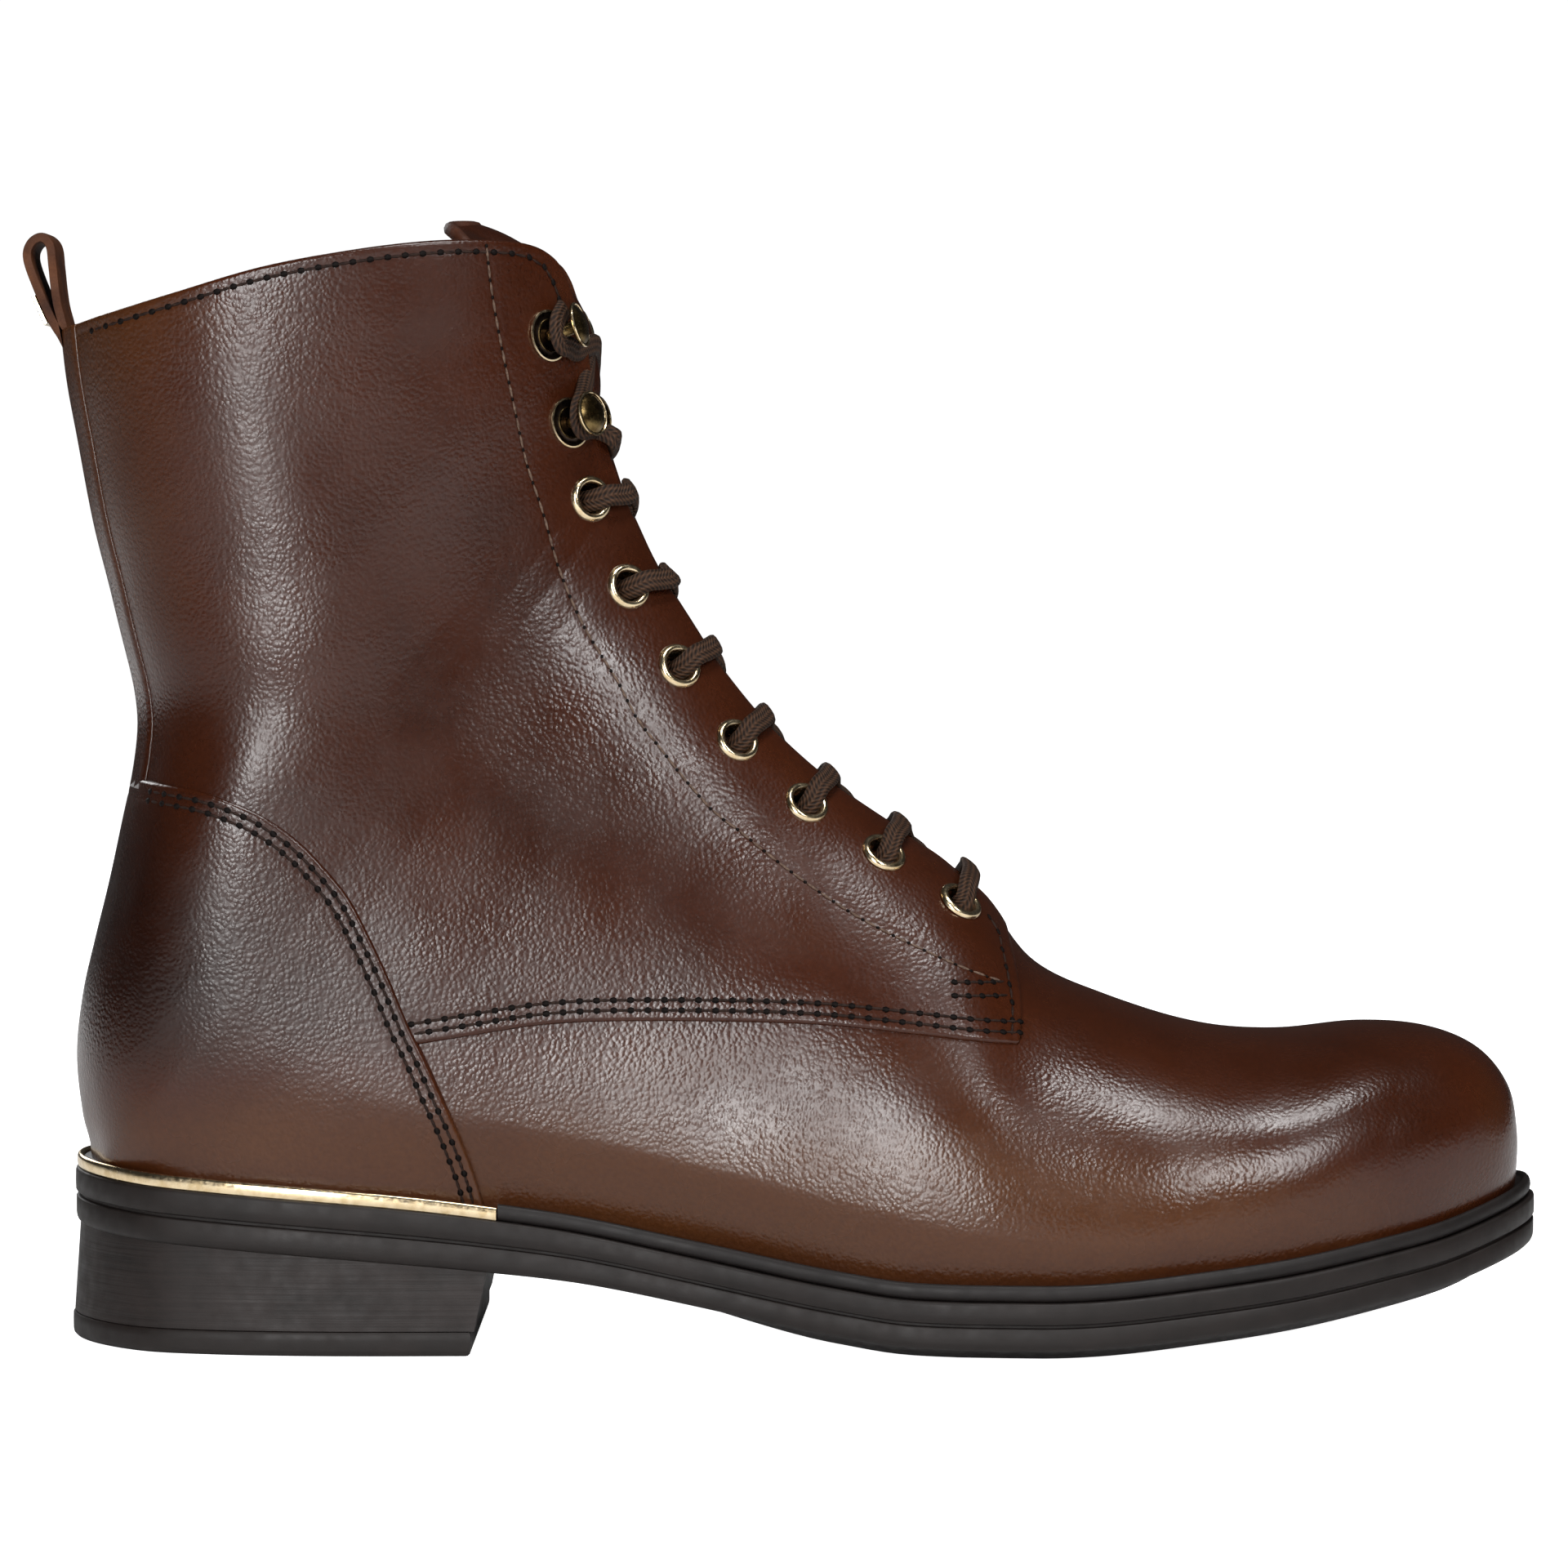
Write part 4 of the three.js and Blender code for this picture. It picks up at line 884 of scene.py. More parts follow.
class Sheet:
    """A triangle sheet over the last; the columns of data hold each vertex's row, turn and fields."""

    def __init__(self, rows, turns):
        row, turn = np.meshgrid(rows, turns, indexing="ij")
        count = len(turns)
        corner = (np.arange(len(rows) - 1)[:, None] * count + np.arange(count - 1)[None, :]).ravel()
        self.data = np.stack([row.ravel(), turn.ravel()], 1)
        self.faces = np.concatenate([
            np.stack([corner, corner + 1, corner + count + 1], 1),
            np.stack([corner, corner + count + 1, corner + count], 1),
        ])
        points, _ = place_on(self.data[:, 0], self.data[:, 1])
        x, z = points[:, 0], points[:, 2]
        fields = {
            "quarter": signed(x, z, quarter_edge),
            "counter": signed(x, z, counter_edge),
            "collar": signed(x, z, collar_edge),
            "throat": from_throat(self.data[:, 0], self.data[:, 1], points),
            "strip": strip_depth(points),
            "sole": z - plate_top(x) - GAP + SOLE_SEAM_DROP,
            "tab": from_line(x, z, quarter_front[16:])[0],
            "hem": from_line(x, z, quarter_bottom)[0],
            "facing": from_line(x, z, facing_seam)[0],
            "bore": from_bores(points),
        }
        self.index = {name: 2 + k for k, name in enumerate(fields)}
        self.data = np.concatenate([self.data, np.stack(list(fields.values()), 1)], 1)

    def field(self, name):
        return self.data[:, self.index[name]]

    def split(self, name, level):
        """Cuts the faces along the line where a field has a level."""
        value = self.field(name) - level
        value = np.where(np.abs(value) < 1e-6, 1e-6, value)
        above = value[self.faces] > 0
        crossed = above.any(1) & ~above.all(1)
        faces = self.faces[crossed]
        above = above[crossed]
        if not len(faces):
            return
        lone_above = above.sum(1) == 1
        lone = np.where(lone_above, above.argmax(1), (~above).argmax(1))
        pick = np.arange(len(faces))
        first = faces[pick, lone]
        second = faces[pick, (lone + 1) % 3]
        third = faces[pick, (lone + 2) % 3]
        pairs = np.sort(np.concatenate([np.stack([first, second], 1), np.stack([first, third], 1)]), axis=1)
        unique, inverse = np.unique(pairs, axis=0, return_inverse=True)
        inverse = inverse.reshape(-1)
        a, b = unique[:, 0], unique[:, 1]
        share = (value[a] / (value[a] - value[b]))[:, None]
        made = self.data[a] + (self.data[b] - self.data[a]) * share
        made[:, self.index[name]] = level
        base = len(self.data)
        self.data = np.concatenate([self.data, made])
        near_second = base + inverse[: len(faces)]
        near_third = base + inverse[len(faces):]
        self.faces = np.concatenate([
            self.faces[~crossed],
            np.stack([first, near_second, near_third], 1),
            np.stack([near_second, second, third], 1),
            np.stack([near_second, third, near_third], 1),
        ])

    def keep(self, name, above=None, below=None):
        """Cuts away what lies below or above a level of a field."""
        level = above if above is not None else below
        self.split(name, level)
        middle = self.field(name)[self.faces].mean(1)
        stays = middle > level if above is not None else middle < level
        self.faces = self.faces[stays]
        used, inverse = np.unique(self.faces, return_inverse=True)
        self.data = self.data[used]
        self.faces = inverse.reshape(-1, 3)


# Soft folds: lines in the side view as shares of sole length and collar height, then width and depth
fold_rows = [
    ([[0.05, 0.60], [0.11, 0.575], [0.19, 0.59]], 8, -0.5),
    ([[0.06, 0.655], [0.13, 0.635], [0.2, 0.65]], 9, 0.4),
    ([[0.1, 0.545], [0.17, 0.515], [0.25, 0.53]], 8, 0.35),
    ([[0.29, 0.64], [0.335, 0.54], [0.42, 0.46]], 14, -0.6),
    ([[0.42, 0.6], [0.46, 0.52], [0.52, 0.455]], 10, 0.25),
    ([[0.2, 0.95], [0.205, 0.8], [0.235, 0.65]], 13, -0.6),
    ([[0.12, 0.93], [0.15, 0.78], [0.19, 0.62]], 12, 0.4),
    ([[0.28, 0.9], [0.285, 0.76], [0.32, 0.62]], 12, 0.4),
    ([[0.2, 0.44], [0.24, 0.38], [0.27, 0.33]], 10, 0.35),
    ([[0.64, 0.255], [0.69, 0.22], [0.73, 0.17]], 12, -0.45),
    ([[0.7, 0.3], [0.735, 0.255], [0.77, 0.21]], 11, 0.3),
    ([[0.58, 0.24], [0.62, 0.19], [0.66, 0.14]], 12, 0.3),
    ([[0.76, 0.28], [0.79, 0.245], [0.81, 0.2]], 10, -0.25),
]


def fold_height(x, z):
    height = np.zeros(x.shape)
    for line, width, depth in fold_rows:
        distance, share = from_line(x, z, flow(in_side_view(line), 6))
        height += depth * np.exp(-((distance / width) ** 2)) * np.sin(np.pi * (0.12 + 0.76 * share))
    return height


# Tone spots in the side view, x and z as shares, radii in millimetres and how much lighter they are: the
# leather's own burnish, while the lighter spots low along the sole are painted bounce light from the floor
burnish_and_bounce_rows = table(
    "x z across high amount",
    [0.02, 0.75, 16, 60, 0.3],
    [0.03, 0.93, 26, 14, 0.3],
    [0.1, 0.3, 30, 26, -0.3],
    [0.03, 0.42, 26, 22, -0.35],
    [0.12, 0.2, 40, 12, 0.5],
    [0.42, 0.16, 90, 15, 0.5],
    [0.62, 0.12, 60, 13, 0.45],
    [0.8, 0.14, 40, 10, 0.2],
    [0.42, 0.27, 70, 6, 0.15],
    [0.97, 0.2, 10, 14, 0.15],
    [0.86, 0.2, 18, 14, -0.15],
    [0.3, 0.62, 40, 40, -0.12],
    [0.52, 0.42, 26, 26, 0.1],
    [0.35, 0.9, 10, 20, 0.15],
)


def burnish_and_bounce_at(x, z):
    tone = np.full(x.shape, 0.42)
    for i in range(len(burnish_and_bounce_rows["x"])):
        across = (x - burnish_and_bounce_rows["x"][i] * SOLE_LENGTH) / burnish_and_bounce_rows["across"][i]
        high = (z - burnish_and_bounce_rows["z"][i] * COLLAR_HEIGHT) / burnish_and_bounce_rows["high"][i]
        tone += burnish_and_bounce_rows["amount"][i] * np.exp(-(across**2) - high**2)
    return tone


EDGE_ROUND = 0.75
EDGE_LEVELS = (0.06, 0.22, 0.5, EDGE_ROUND)
SEAM_HALF = 0.5
SEAM_DEPTH = 0.07


def edge_drop(distance):
    """How far a cut edge is rounded off."""
    inside = np.clip(1 - distance / EDGE_ROUND, 0, 1)
    return EDGE_ROUND * (1 - np.sqrt(1 - inside**2))


def seam_drop(distance, seams):
    drop = np.zeros(distance.shape)
    for seam in seams:
        drop += SEAM_DEPTH * np.exp(-((distance - seam) / SEAM_HALF) ** 2)
    return drop


def finish_panel(name, sheet, base, edges, rim):
    """Lifts a cut sheet off the last, rounds and grooves its edges, gives it a rim and makes its object."""
    row, turn = sheet.data[:, 0], sheet.data[:, 1]
    points, normals = place_on(row, turn)
    x, z = points[:, 0].copy(), points[:, 2].copy()
    out = base + fold_height(x, z)
    for field, rounded, seams in edges:
        distance = sheet.field(field)
        if rounded:
            out -= edge_drop(distance)
        out -= seam_drop(distance, seams)
    points = points + normals * out[:, None]
    # The two halves meet at the back of the last
    _, first, inverse = np.unique(np.round(points, 3), axis=0, return_index=True, return_inverse=True)
    inverse = inverse.reshape(-1)
    points, normals, x, z = points[first], normals[first], x[first], z[first]
    faces = inverse[sheet.faces]
    flat = (faces[:, 0] == faces[:, 1]) | (faces[:, 1] == faces[:, 2]) | (faces[:, 2] == faces[:, 0])
    faces = faces[~flat]
    a, b, c = (points[faces[:, k]] for k in range(3))
    facing = np.einsum("ij,ij->i", np.cross(b - a, c - a), normals[faces[:, 0]])
    if facing.sum() < 0:
        faces = faces[:, ::-1]
    ends = np.concatenate([faces[:, [0, 1]], faces[:, [1, 2]], faces[:, [2, 0]]])
    keys = np.sort(ends, axis=1)
    _, where, counts = np.unique(keys, axis=0, return_inverse=True, return_counts=True)
    border = ends[counts[where.reshape(-1)] == 1]
    used, index = np.unique(border, return_inverse=True)
    index = index.reshape(-1, 2)
    low = len(points) + index
    quads = np.stack([border[:, 1], border[:, 0], low[:, 0], low[:, 1]], 1)
    all_points = np.concatenate([points, points[used] - normals[used] * rim])
    # Tone per vertex: the leather's burnish, with painted bounce light low along the sole
    tone = burnish_and_bounce_at(np.r_[x, x[used]], np.r_[z, z[used]])
    every = [tuple(face) for face in faces] + [tuple(face) for face in quads]
    return make(name, all_points, every, upper_leather, "upper_leather", ("upper",), {"tone": tone})


ROW_STEP = 0.09
TURN_COUNT = 261


def turn_line():
    """Turns from the outer boundary over the crest to the inner one, closer together near the facings."""
    share = np.linspace(-1, 1, TURN_COUNT)
    return np.sign(share) * (0.75 * np.abs(share) + 0.25 * np.abs(share) ** 1.6)


def row_line(low, high):
    return np.unique(np.r_[np.arange(low, high, ROW_STEP), high])


HIDDEN = 3.0
TAB_SEAM = 1.7
HEM_SEAMS = (2.1, 4.0)
COUNTER_SEAMS = (1.7, 3.5)
COLLAR_SEAM = 2.3
STRIP_UNDER = 1.5
RIM = QUARTER_STEP + WALL - 0.1
BORE_RADIUS = 3.2
FACING_LEVELS = (0.03, 0.3, 0.7, 1.2)


def cut_levels(sheet, field, edge, seams=()):
    """Lines of vertices along a rounded edge and along the grooves of its seams."""
    levels = EDGE_LEVELS if edge else ()
    for level in (*levels, *(seam + offset for seam in seams for offset in (-SEAM_HALF, 0, SEAM_HALF))):
        sheet.split(field, level)


def build_vamp():
    toe = np.unique(np.r_[np.linspace(0, 2.4, 40), row_line(2.4, 19)])
    sheet = Sheet(toe, turn_line())
    sheet.keep("quarter", below=HIDDEN)
    sheet.keep("counter", below=HIDDEN)
    sheet.keep("sole", above=0)
    finish_panel("vamp", sheet, 0.0, [], 1.5)


def build_quarter(side):
    turns = turn_line()
    turns = turns[turns <= 0] if side == LATERAL else turns[turns >= 0]
    sheet = Sheet(row_line(8.5, LAST_ROW), turns)
    sheet.keep("quarter", above=0)
    sheet.keep("counter", below=HIDDEN)
    sheet.keep("collar", above=0)
    sheet.keep("throat", above=0)
    sheet.keep("strip", below=STRIP_UNDER)
    sheet.keep("bore", above=BORE_RADIUS)
    cut_levels(sheet, "quarter", True)
    cut_levels(sheet, "collar", True, (COLLAR_SEAM,))
    cut_levels(sheet, "throat", True)
    cut_levels(sheet, "hem", False, HEM_SEAMS)
    cut_levels(sheet, "tab", False, (TAB_SEAM,))
    for level in FACING_LEVELS:
        sheet.split("facing", level)
    edges = [
        ("quarter", True, ()),
        ("collar", True, (COLLAR_SEAM,)),
        ("throat", True, ()),
        ("hem", False, HEM_SEAMS),
        ("tab", False, (TAB_SEAM,)),
        ("facing", False, (0,)),
    ]
    return finish_panel(f"quarter_{SIDE_NAMES[side]}", sheet, QUARTER_STEP, edges, RIM)


def build_counter():
    sheet = Sheet(row_line(11.5, 27), turn_line())
    sheet.keep("counter", above=0)
    sheet.keep("sole", above=0)
    cut_levels(sheet, "counter", True, COUNTER_SEAMS)
    return finish_panel("counter", sheet, COUNTER_STEP, [("counter", True, COUNTER_SEAMS)], RIM)


def build_strip():
    round_back = np.linspace(0.62, 1, 90)
    sheet = Sheet(row_line(19, LAST_ROW), np.r_[-round_back[::-1], round_back])
    # No faces between the inner turns of its two halves
    turns = sheet.data[:, 1][sheet.faces]
    sheet.faces = sheet.faces[(turns.max(1) < 0) | (turns.min(1) > 0)]
    sheet.keep("strip", above=0)
    sheet.keep("counter", below=2.0)
    sheet.keep("collar", above=0)
    cut_levels(sheet, "strip", True)
    cut_levels(sheet, "collar", True)
    finish_panel("back_strip", sheet, COUNTER_STEP, [("strip", True, ()), ("collar", True, ())], RIM)


def build_lining():
    rows = np.unique(np.r_[np.linspace(0, 2.4, 12), np.arange(2.4, LAST_ROW, 0.25), LAST_ROW])
    sheet = Sheet(rows, turn_line()[::2])
    sheet.keep("collar", above=0.05)
    sheet.keep("sole", above=1.5)
    sheet.keep("bore", above=BORE_RADIUS)
    over_vamp = sheet.data[:, 0][sheet.faces].mean(1) > THROAT_ROW
    in_throat = sheet.field("throat")[sheet.faces].mean(1) < 0
    sheet.faces = sheet.faces[~(over_vamp & in_throat)]
    points, normals = place_on(sheet.data[:, 0], sheet.data[:, 1])
    make("lining", points - normals * WALL, sheet.faces, lining_leather, "lining_leather", ("upper",))


# Seams: short stitches on the panels, with a near-black body at each end as the painted shade of its needle
# hole

STITCH_PITCH = 3.2
STITCH_LENGTH = 2.5
STITCH_RADIUS = 0.3
HOLE_SIZE = (0.72, 0.64)
SMALL_HOLE = (0.36, 0.36)


def tree_of(*panels):
    points, faces, base = [], [], 0
    for panel in panels:
        points += [panel.matrix_world @ v.co for v in panel.data.vertices]
        faces += [[base + i for i in face.vertices] for face in panel.data.polygons]
        base = len(points)
    return BVHTree.FromPolygons(points, faces)


def on_panel(tree, side, x, z):
    """Where a line across the boot first meets the panel, from one side, or nothing."""
    far = side * 2 * BALL_WIDTH
    start = Vector(to_frame([x, far, z]))
    hit, normal, _, _ = tree.ray_cast(start, Vector((0, -side, 0)))
    if hit is None:
        return None
    normal = np.array(normal)
    return np.array(hit) * 1000 - frame_shift, normal * (-1 if normal[1] * side < 0 else 1)


def spindle(at, along, out, half, radius, flat, sides=6):
    """A small pointed-oval body."""
    aside = unit(np.cross(along, out))
    shares = (-1, -0.75, 0, 0.75, 1)
    rings = []
    for share in shares:
        fat = radius * np.sqrt(max(1 - share**2, 0.06))
        turns = np.arange(sides) * 2 * np.pi / sides
        round_way = np.cos(turns)[:, None] * aside + flat * np.sin(turns)[:, None] * out
        rings.append(at + along * half * share + fat * round_way)
    return stack(rings)


def sew(name, tree, lines, look=dark_thread, pitch=STITCH_PITCH, length=STITCH_LENGTH, hole=HOLE_SIZE):
    """A seam along lines in the side view, as one piece of thread and one of dark bodies that paint the
    shade in the needle holes.
    """
    threads, hole_shades = [], []
    for side in SIDES:
        for line in lines:
            places = [on_panel(tree, side, x, z) for x, z in resample(line, pitch)[0]]
            places = [place for place in places if place is not None]
            for (a, out), (b, _) in zip(places[:-1], places[1:]):
                apart = np.linalg.norm(b - a)
                if apart > 1.8 * pitch:
                    continue
                along = (b - a) / apart
                middle = (a + b) / 2 + out * 0.1
                threads.append(spindle(middle, along, out, length / 2, STITCH_RADIUS, 0.8))
                # A dark body at the stitch's end: painted shade of the needle hole
                hole_shades.append(spindle(a + out * 0.07, along, out, *hole, 0.4, sides=4))
    make(f"{name}_thread", *join(threads), look, "upper_leather")
    make(f"{name}_holes", *join(hole_shades), hole_shade, "upper_leather")


def build_seams(quarters, counter):
    tree = tree_of(*quarters)
    sew("hem_seam", tree, [beside(quarter_bottom, -distance) for distance in HEM_SEAMS])
    sew("tab_seam", tree, [beside(quarter_front[42:], -TAB_SEAM)])
    sew("facing_seam", tree, [facing_seam], look=soft_thread, hole=SMALL_HOLE)
    sew("collar_seam", tree, [beside(collar_line[10:], -COLLAR_SEAM)])
    tacks = in_side_view([[0.598, 0.335], [0.633, 0.333]])
    lower = in_side_view([[0.598, 0.3235], [0.635, 0.3215]])
    sew("bar_tack", tree, [tacks, lower], pitch=2.6, length=2.3)
    sew("counter_seam", tree_of(counter), [beside(counter_front, -distance) for distance in COUNTER_SEAMS])


# Sole, welt, rim, heel and insole

FINE_TURNS = 150
GROOVE_DEPTH = 0.8
BALL_FLAT_INSET = 13
plate_side = table(
    "inset share",
    [1.3, 0],
    [0.75, 0.012],
    [0.35, 0.045],
    [0.1, 0.1],
    [0, 0.17],
    [0, 0.452],
    [0.12, 0.472],
    [0.45, 0.485],
    [GROOVE_DEPTH, 0.492],
    [GROOVE_DEPTH, 0.538],
    [0.4, 0.548],
    [0.08, 0.56],
    [-0.08, 0.585],
    [-0.12, 0.75],
    [-0.08, 0.93],
    [0.05, 0.972],
    [0.35, 0.995],
    [0.8, 1],
)


def outline_ring(inset, height):
    turns = np.linspace(0, 1, FINE_TURNS + 1)
    plan = np.concatenate([outline(LATERAL, turns, inset), outline(MEDIAL, turns, inset)[-2:0:-1]])
    return np.c_[plan, height(plan[:, 0])]


def fill(count, start, turned=False):
    """Faces across a ring whose second half mirrors its first."""
    faces = []
    for i in range(count // 2):
        corners = [i, i + 1, (count - i - 1) % count, (count - i) % count]
        face = [start + k for k in dict.fromkeys(corners)]
        faces.append(tuple(reversed(face)) if turned else tuple(face))
    return faces


def ringed(rings):
    """A closed body of rings round the outline, from the bottom up."""
    count = len(rings[0])
    faces = ring_faces(count, len(rings))
    faces += fill(count, 0, turned=True) + fill(count, (len(rings) - 1) * count)
    return np.concatenate(rings), faces


def crown_at(x):
    return EDGE_LIFT * smooth(0.36, 0.52, np.asarray(x) / SOLE_LENGTH)


def build_plate():
    rings = [outline_ring(inset, lambda x: plate_bottom(x) - crown_at(x)) for inset in (16, BALL_FLAT_INSET)]
    for inset in (10, 7, 4, 2.2):
        share = smooth(BALL_FLAT_INSET, 1.3, inset)
        rings.append(outline_ring(inset, lambda x, share=share: plate_bottom(x) - crown_at(x) * (1 - share)))
    for inset, share in zip(plate_side["inset"], plate_side["share"]):
        rings.append(outline_ring(inset, lambda x, share=share: mix(plate_bottom(x), plate_top(x), share)))
    make("sole_plate", *ringed(rings), sole_rubber, "sole_rubber", ("outsole",), crease=50)


def stations_round(end, start_x, count):
    """Sides and turns from the outer side round the toe, or from the inner side round the heel."""
    shares = np.linspace(0, 1, count + 1)
    path = [(LATERAL, share) for share in shares] + [(MEDIAL, share) for share in shares[-2::-1]]
    stations = [(side, mix(turn_of_x(side, start_x), end, share)) for side, share in path]
    return stations[::-1] if end == 0 else stations


def edge_strip(end, start_x, profile):
    rings = []
    for side, turn in stations_round(end, start_x, FINE_TURNS):
        plan = np.array([outline(side, turn, inset) for inset, _ in profile])
        rise = plate_top(edge_point(side, turn)[0]) + GAP + profile[:, 1]
        rings.append(np.c_[plan, rise])
    return stack(rings)


STRIP_END = BREAST_PLACE + 1.8
welt_profile = np.array([
    [1.3, -0.25], [0.95, 0.1], [0.72, 0.6], [0.62, 1.2], [0.68, 1.85], [0.9, 2.45], [1.25, 2.8], [1.7, 2.85],
    [2.05, 2.6], [2.25, 2.2], [2.5, 1.95], [5, 1.9], [5, -0.25],
])
rim_profile = np.array([
    [0.5, -0.3], [0.3, 0], [0.22, 0.5], [0.22, 1.6], [0.35, 2.05], [0.62, 2.28], [0.95, 2.28], [1.25, 2.1],
    [1.4, 1.8], [1.4, -0.3],
])
seat_profile = np.array([[1.35, -0.3], [1.35, 1.3], [1.7, 1.5], [5, 1.5], [5, -0.3]])


def build_strips():
    welt = edge_strip(1, STRIP_END + GAP, welt_profile)
    make("welt_bead", *welt, welt_rubber, "welt_leather", ("welt",), crease=50)
    make("gold_rim", *edge_strip(0, STRIP_END, rim_profile), gold, "gold_metal", ("heel_rim",), crease=50)
    make("seat_edge", *edge_strip(0, STRIP_END, seat_profile), welt_rubber, "welt_leather", (), crease=50)


def heel_ring(inset, front_x, height):
    stations = stations_round(0, front_x, FINE_TURNS // 2)
    plan = np.array([outline(side, turn, inset) for side, turn in stations])
    return np.c_[plan, np.broadcast_to(height(plan[:, 0]), len(plan))]


def build_heel():
    rings = []
    for share in (1, 0.985, 0.75, 0.5, 0.25, 0.0):
        inset = HEEL_INSET - HEEL_FLARE * 0.8 * share + (0.25 if share == 1 else 0)
        front = BREAST_PLACE - BREAST_SLOPE * 0.8 * share
        rings.append(heel_ring(
            inset, front, lambda x, share=share: mix(plate_bottom(x) + 0.2, LIFT_THICKNESS, share)
        ))
    make("heel_stack", *stack(rings), heel_rubber, "heel_stack", ("heel_block",), crease=40)
    lift_rows = [
        (1.1, 0), (0.55, 0.15), (0.12, 0.6), (0, 1.2), (-0.02, 3), (0.02, 4.2), (0.3, LIFT_THICKNESS - 0.02)
    ]
    rings = [
        heel_ring(HEEL_INSET - HEEL_FLARE + back, BREAST_PLACE - BREAST_SLOPE - back, lambda x, up=up: up)
        for back, up in lift_rows
    ]
    make("top_lift", *stack(rings), sole_rubber, "sole_rubber", ("heel_top_piece",), crease=40)


def build_insole():
    inset = FEATHER_INSET + WALL + 2 * GAP
    full = INSOLE_THICKNESS
    rows = [(0, 0), (0, 1.9), (0.3, 2.4), (0.9, full), (8, full), (16, full - 0.3)]
    rings = [outline_ring(inset + back, lambda x, up=up: plate_top(x) + GAP + up) for back, up in rows]
    make("sock", *ringed(rings), insole_leather, "lining_leather", ("insole",), crease=60)


# Tongue

BULGE_START = BACK_HEIGHT - 26
BULGE_FULL = BACK_HEIGHT - 8
BEND_HEIGHT = BACK_HEIGHT - 4
BEND_RADIUS = 25
TONGUE_TIP = 32
TONGUE_START = 9.6


def tip_length(share):
    """Length of the bent end, shorter at the sides."""
    return TONGUE_TIP * np.sqrt(np.maximum(1 - 0.93 * np.abs(share) ** 2.6, 0))


def tongue_sheet(row, share, depth):
    """Points of the tongue at a depth under its outer face; share runs from -1 at the outer side to 1."""
    row, share, depth = np.broadcast_arrays(*(np.asarray(v, float) for v in (row, share, depth)))
    reach = TONGUE_REACH * mix(0.6, 1, smooth(9, 14, row)) * mix(1, 0.8, smooth(20, 28, row))
    y = np.abs(share) * reach
    points = np.zeros((*row.shape, 3))
    for side in SIDES:
        mine = share < 0 if side == LATERAL else share >= 0
        rows, ys, depths = row[mine], y[mine], depth[mine]
        turn = turn_at_y(rows, side, ys)
        roll = np.maximum(1 - (ys / throat_half(rows)) ** 2, 0) ** 2
        lift = TONGUE_BULGE * smooth(BULGE_START, BULGE_FULL, last_point(rows, side, turn)[..., 2]) * roll
        drop = WALL + TONGUE_GAP * mix(0.15, 1, smooth(10.4, 11.4, rows))
        outer = surface(rows, side, turn, lift - drop)
        flat = surface(rows, side, turn, lift - drop - depths)
        tip = tip_length(share[mine])
        rise = np.minimum(outer[..., 2] - BEND_HEIGHT, tip)
        angle = rise / BEND_RADIUS
        radius = BEND_RADIUS - depths
        x = outer[..., 0] - BEND_RADIUS + radius * np.cos(angle)
        bent = np.stack([x, outer[..., 1], BEND_HEIGHT + radius * np.sin(angle)], -1)
        points[mine] = np.where((rise > 0)[..., None], bent, flat)
    return points


def tongue_top(share):
    """The row at which the tongue ends."""
    tip = tip_length(share)

    def below(row):
        reach = TONGUE_REACH * mix(1, 0.8, smooth(20, 28, row))
        heights = np.zeros(share.shape)
        for side in SIDES:
            mine = share < 0 if side == LATERAL else share >= 0
            turn = turn_at_y(row[mine], side, (np.abs(share) * reach)[mine])
            heights[mine] = surface(row[mine], side, turn, np.full(mine.sum(), -WALL - TONGUE_GAP))[:, 2]
        return heights - BEND_HEIGHT < tip

    return bisect(np.full(share.shape, 20.0), np.full(share.shape, float(LAST_ROW)), below)


def build_tongue():
    shares = np.linspace(-1, 1, 61)
    rows = np.linspace(0, 1, 130)[:, None] * (tongue_top(shares) - TONGUE_START)[None, :] + TONGUE_START
    spread = np.broadcast_to(shares, rows.shape)
    count = len(shares)
    rounded = 1 - np.abs(spread) ** 10
    outer = tongue_sheet(rows, spread, 0.15 + 0.95 * (1 - rounded)).reshape(-1, 3)
    inner = tongue_sheet(rows, spread, TONGUE_THICKNESS - 0.95 * (1 - rounded)).reshape(-1, 3)
    faces = np.array(ring_faces(count, len(rows), closed=False))
    tone = {"tone": np.full(len(outer), 0.2)}
    make("tongue_leather", outer, faces, upper_leather, "upper_leather", ("tongue",), tone)
    make("tongue_lining", inner, faces[:, ::-1], lining_leather, "lining_leather", ("tongue",))
    top = tongue_sheet(rows[-1], shares, TONGUE_THICKNESS / 2)
    side_rows = np.linspace(19, rows[-1, 0], 40)
    left = tongue_sheet(side_rows, np.full(40, -1.0), TONGUE_THICKNESS / 2)
    side_rows = np.linspace(rows[-1, -1], 19, 40)
    right = tongue_sheet(side_rows, np.full(40, 1.0), TONGUE_THICKNESS / 2)
    border = resample(np.concatenate([left[:-1], top, right[1:]]), 1.2)[0]
    make("tongue_binding", *tube(border, 1.35), dark_edge, "upper_leather", ())


def tube(line, radius, sides=10):
    """A round rod along a line."""
    along = unit(np.gradient(line, axis=0))
    guide = np.array([0.3, 0.2, 1.0])
    rings = []
    for at, way in zip(line, along):
        first = unit(np.cross(way, guide))
        second = np.cross(way, first)
        guide = np.cross(first, way)
        turns = np.arange(sides) * 2 * np.pi / sides
        rings.append(at + radius * (np.cos(turns)[:, None] * first + np.sin(turns)[:, None] * second))
    return stack(rings)


# Eyelets and lace hooks

eyelet_profile = np.array([
    [2.95, -3.2], [2.75, -3.2], [2.75, -0.8], [2.85, 0], [2.95, 0.42], [3.15, 0.78], [3.5, 0.97], [3.9, 0.9],
    [4.25, 0.62], [4.45, 0.28], [4.5, 0], [2.95, 0],
])


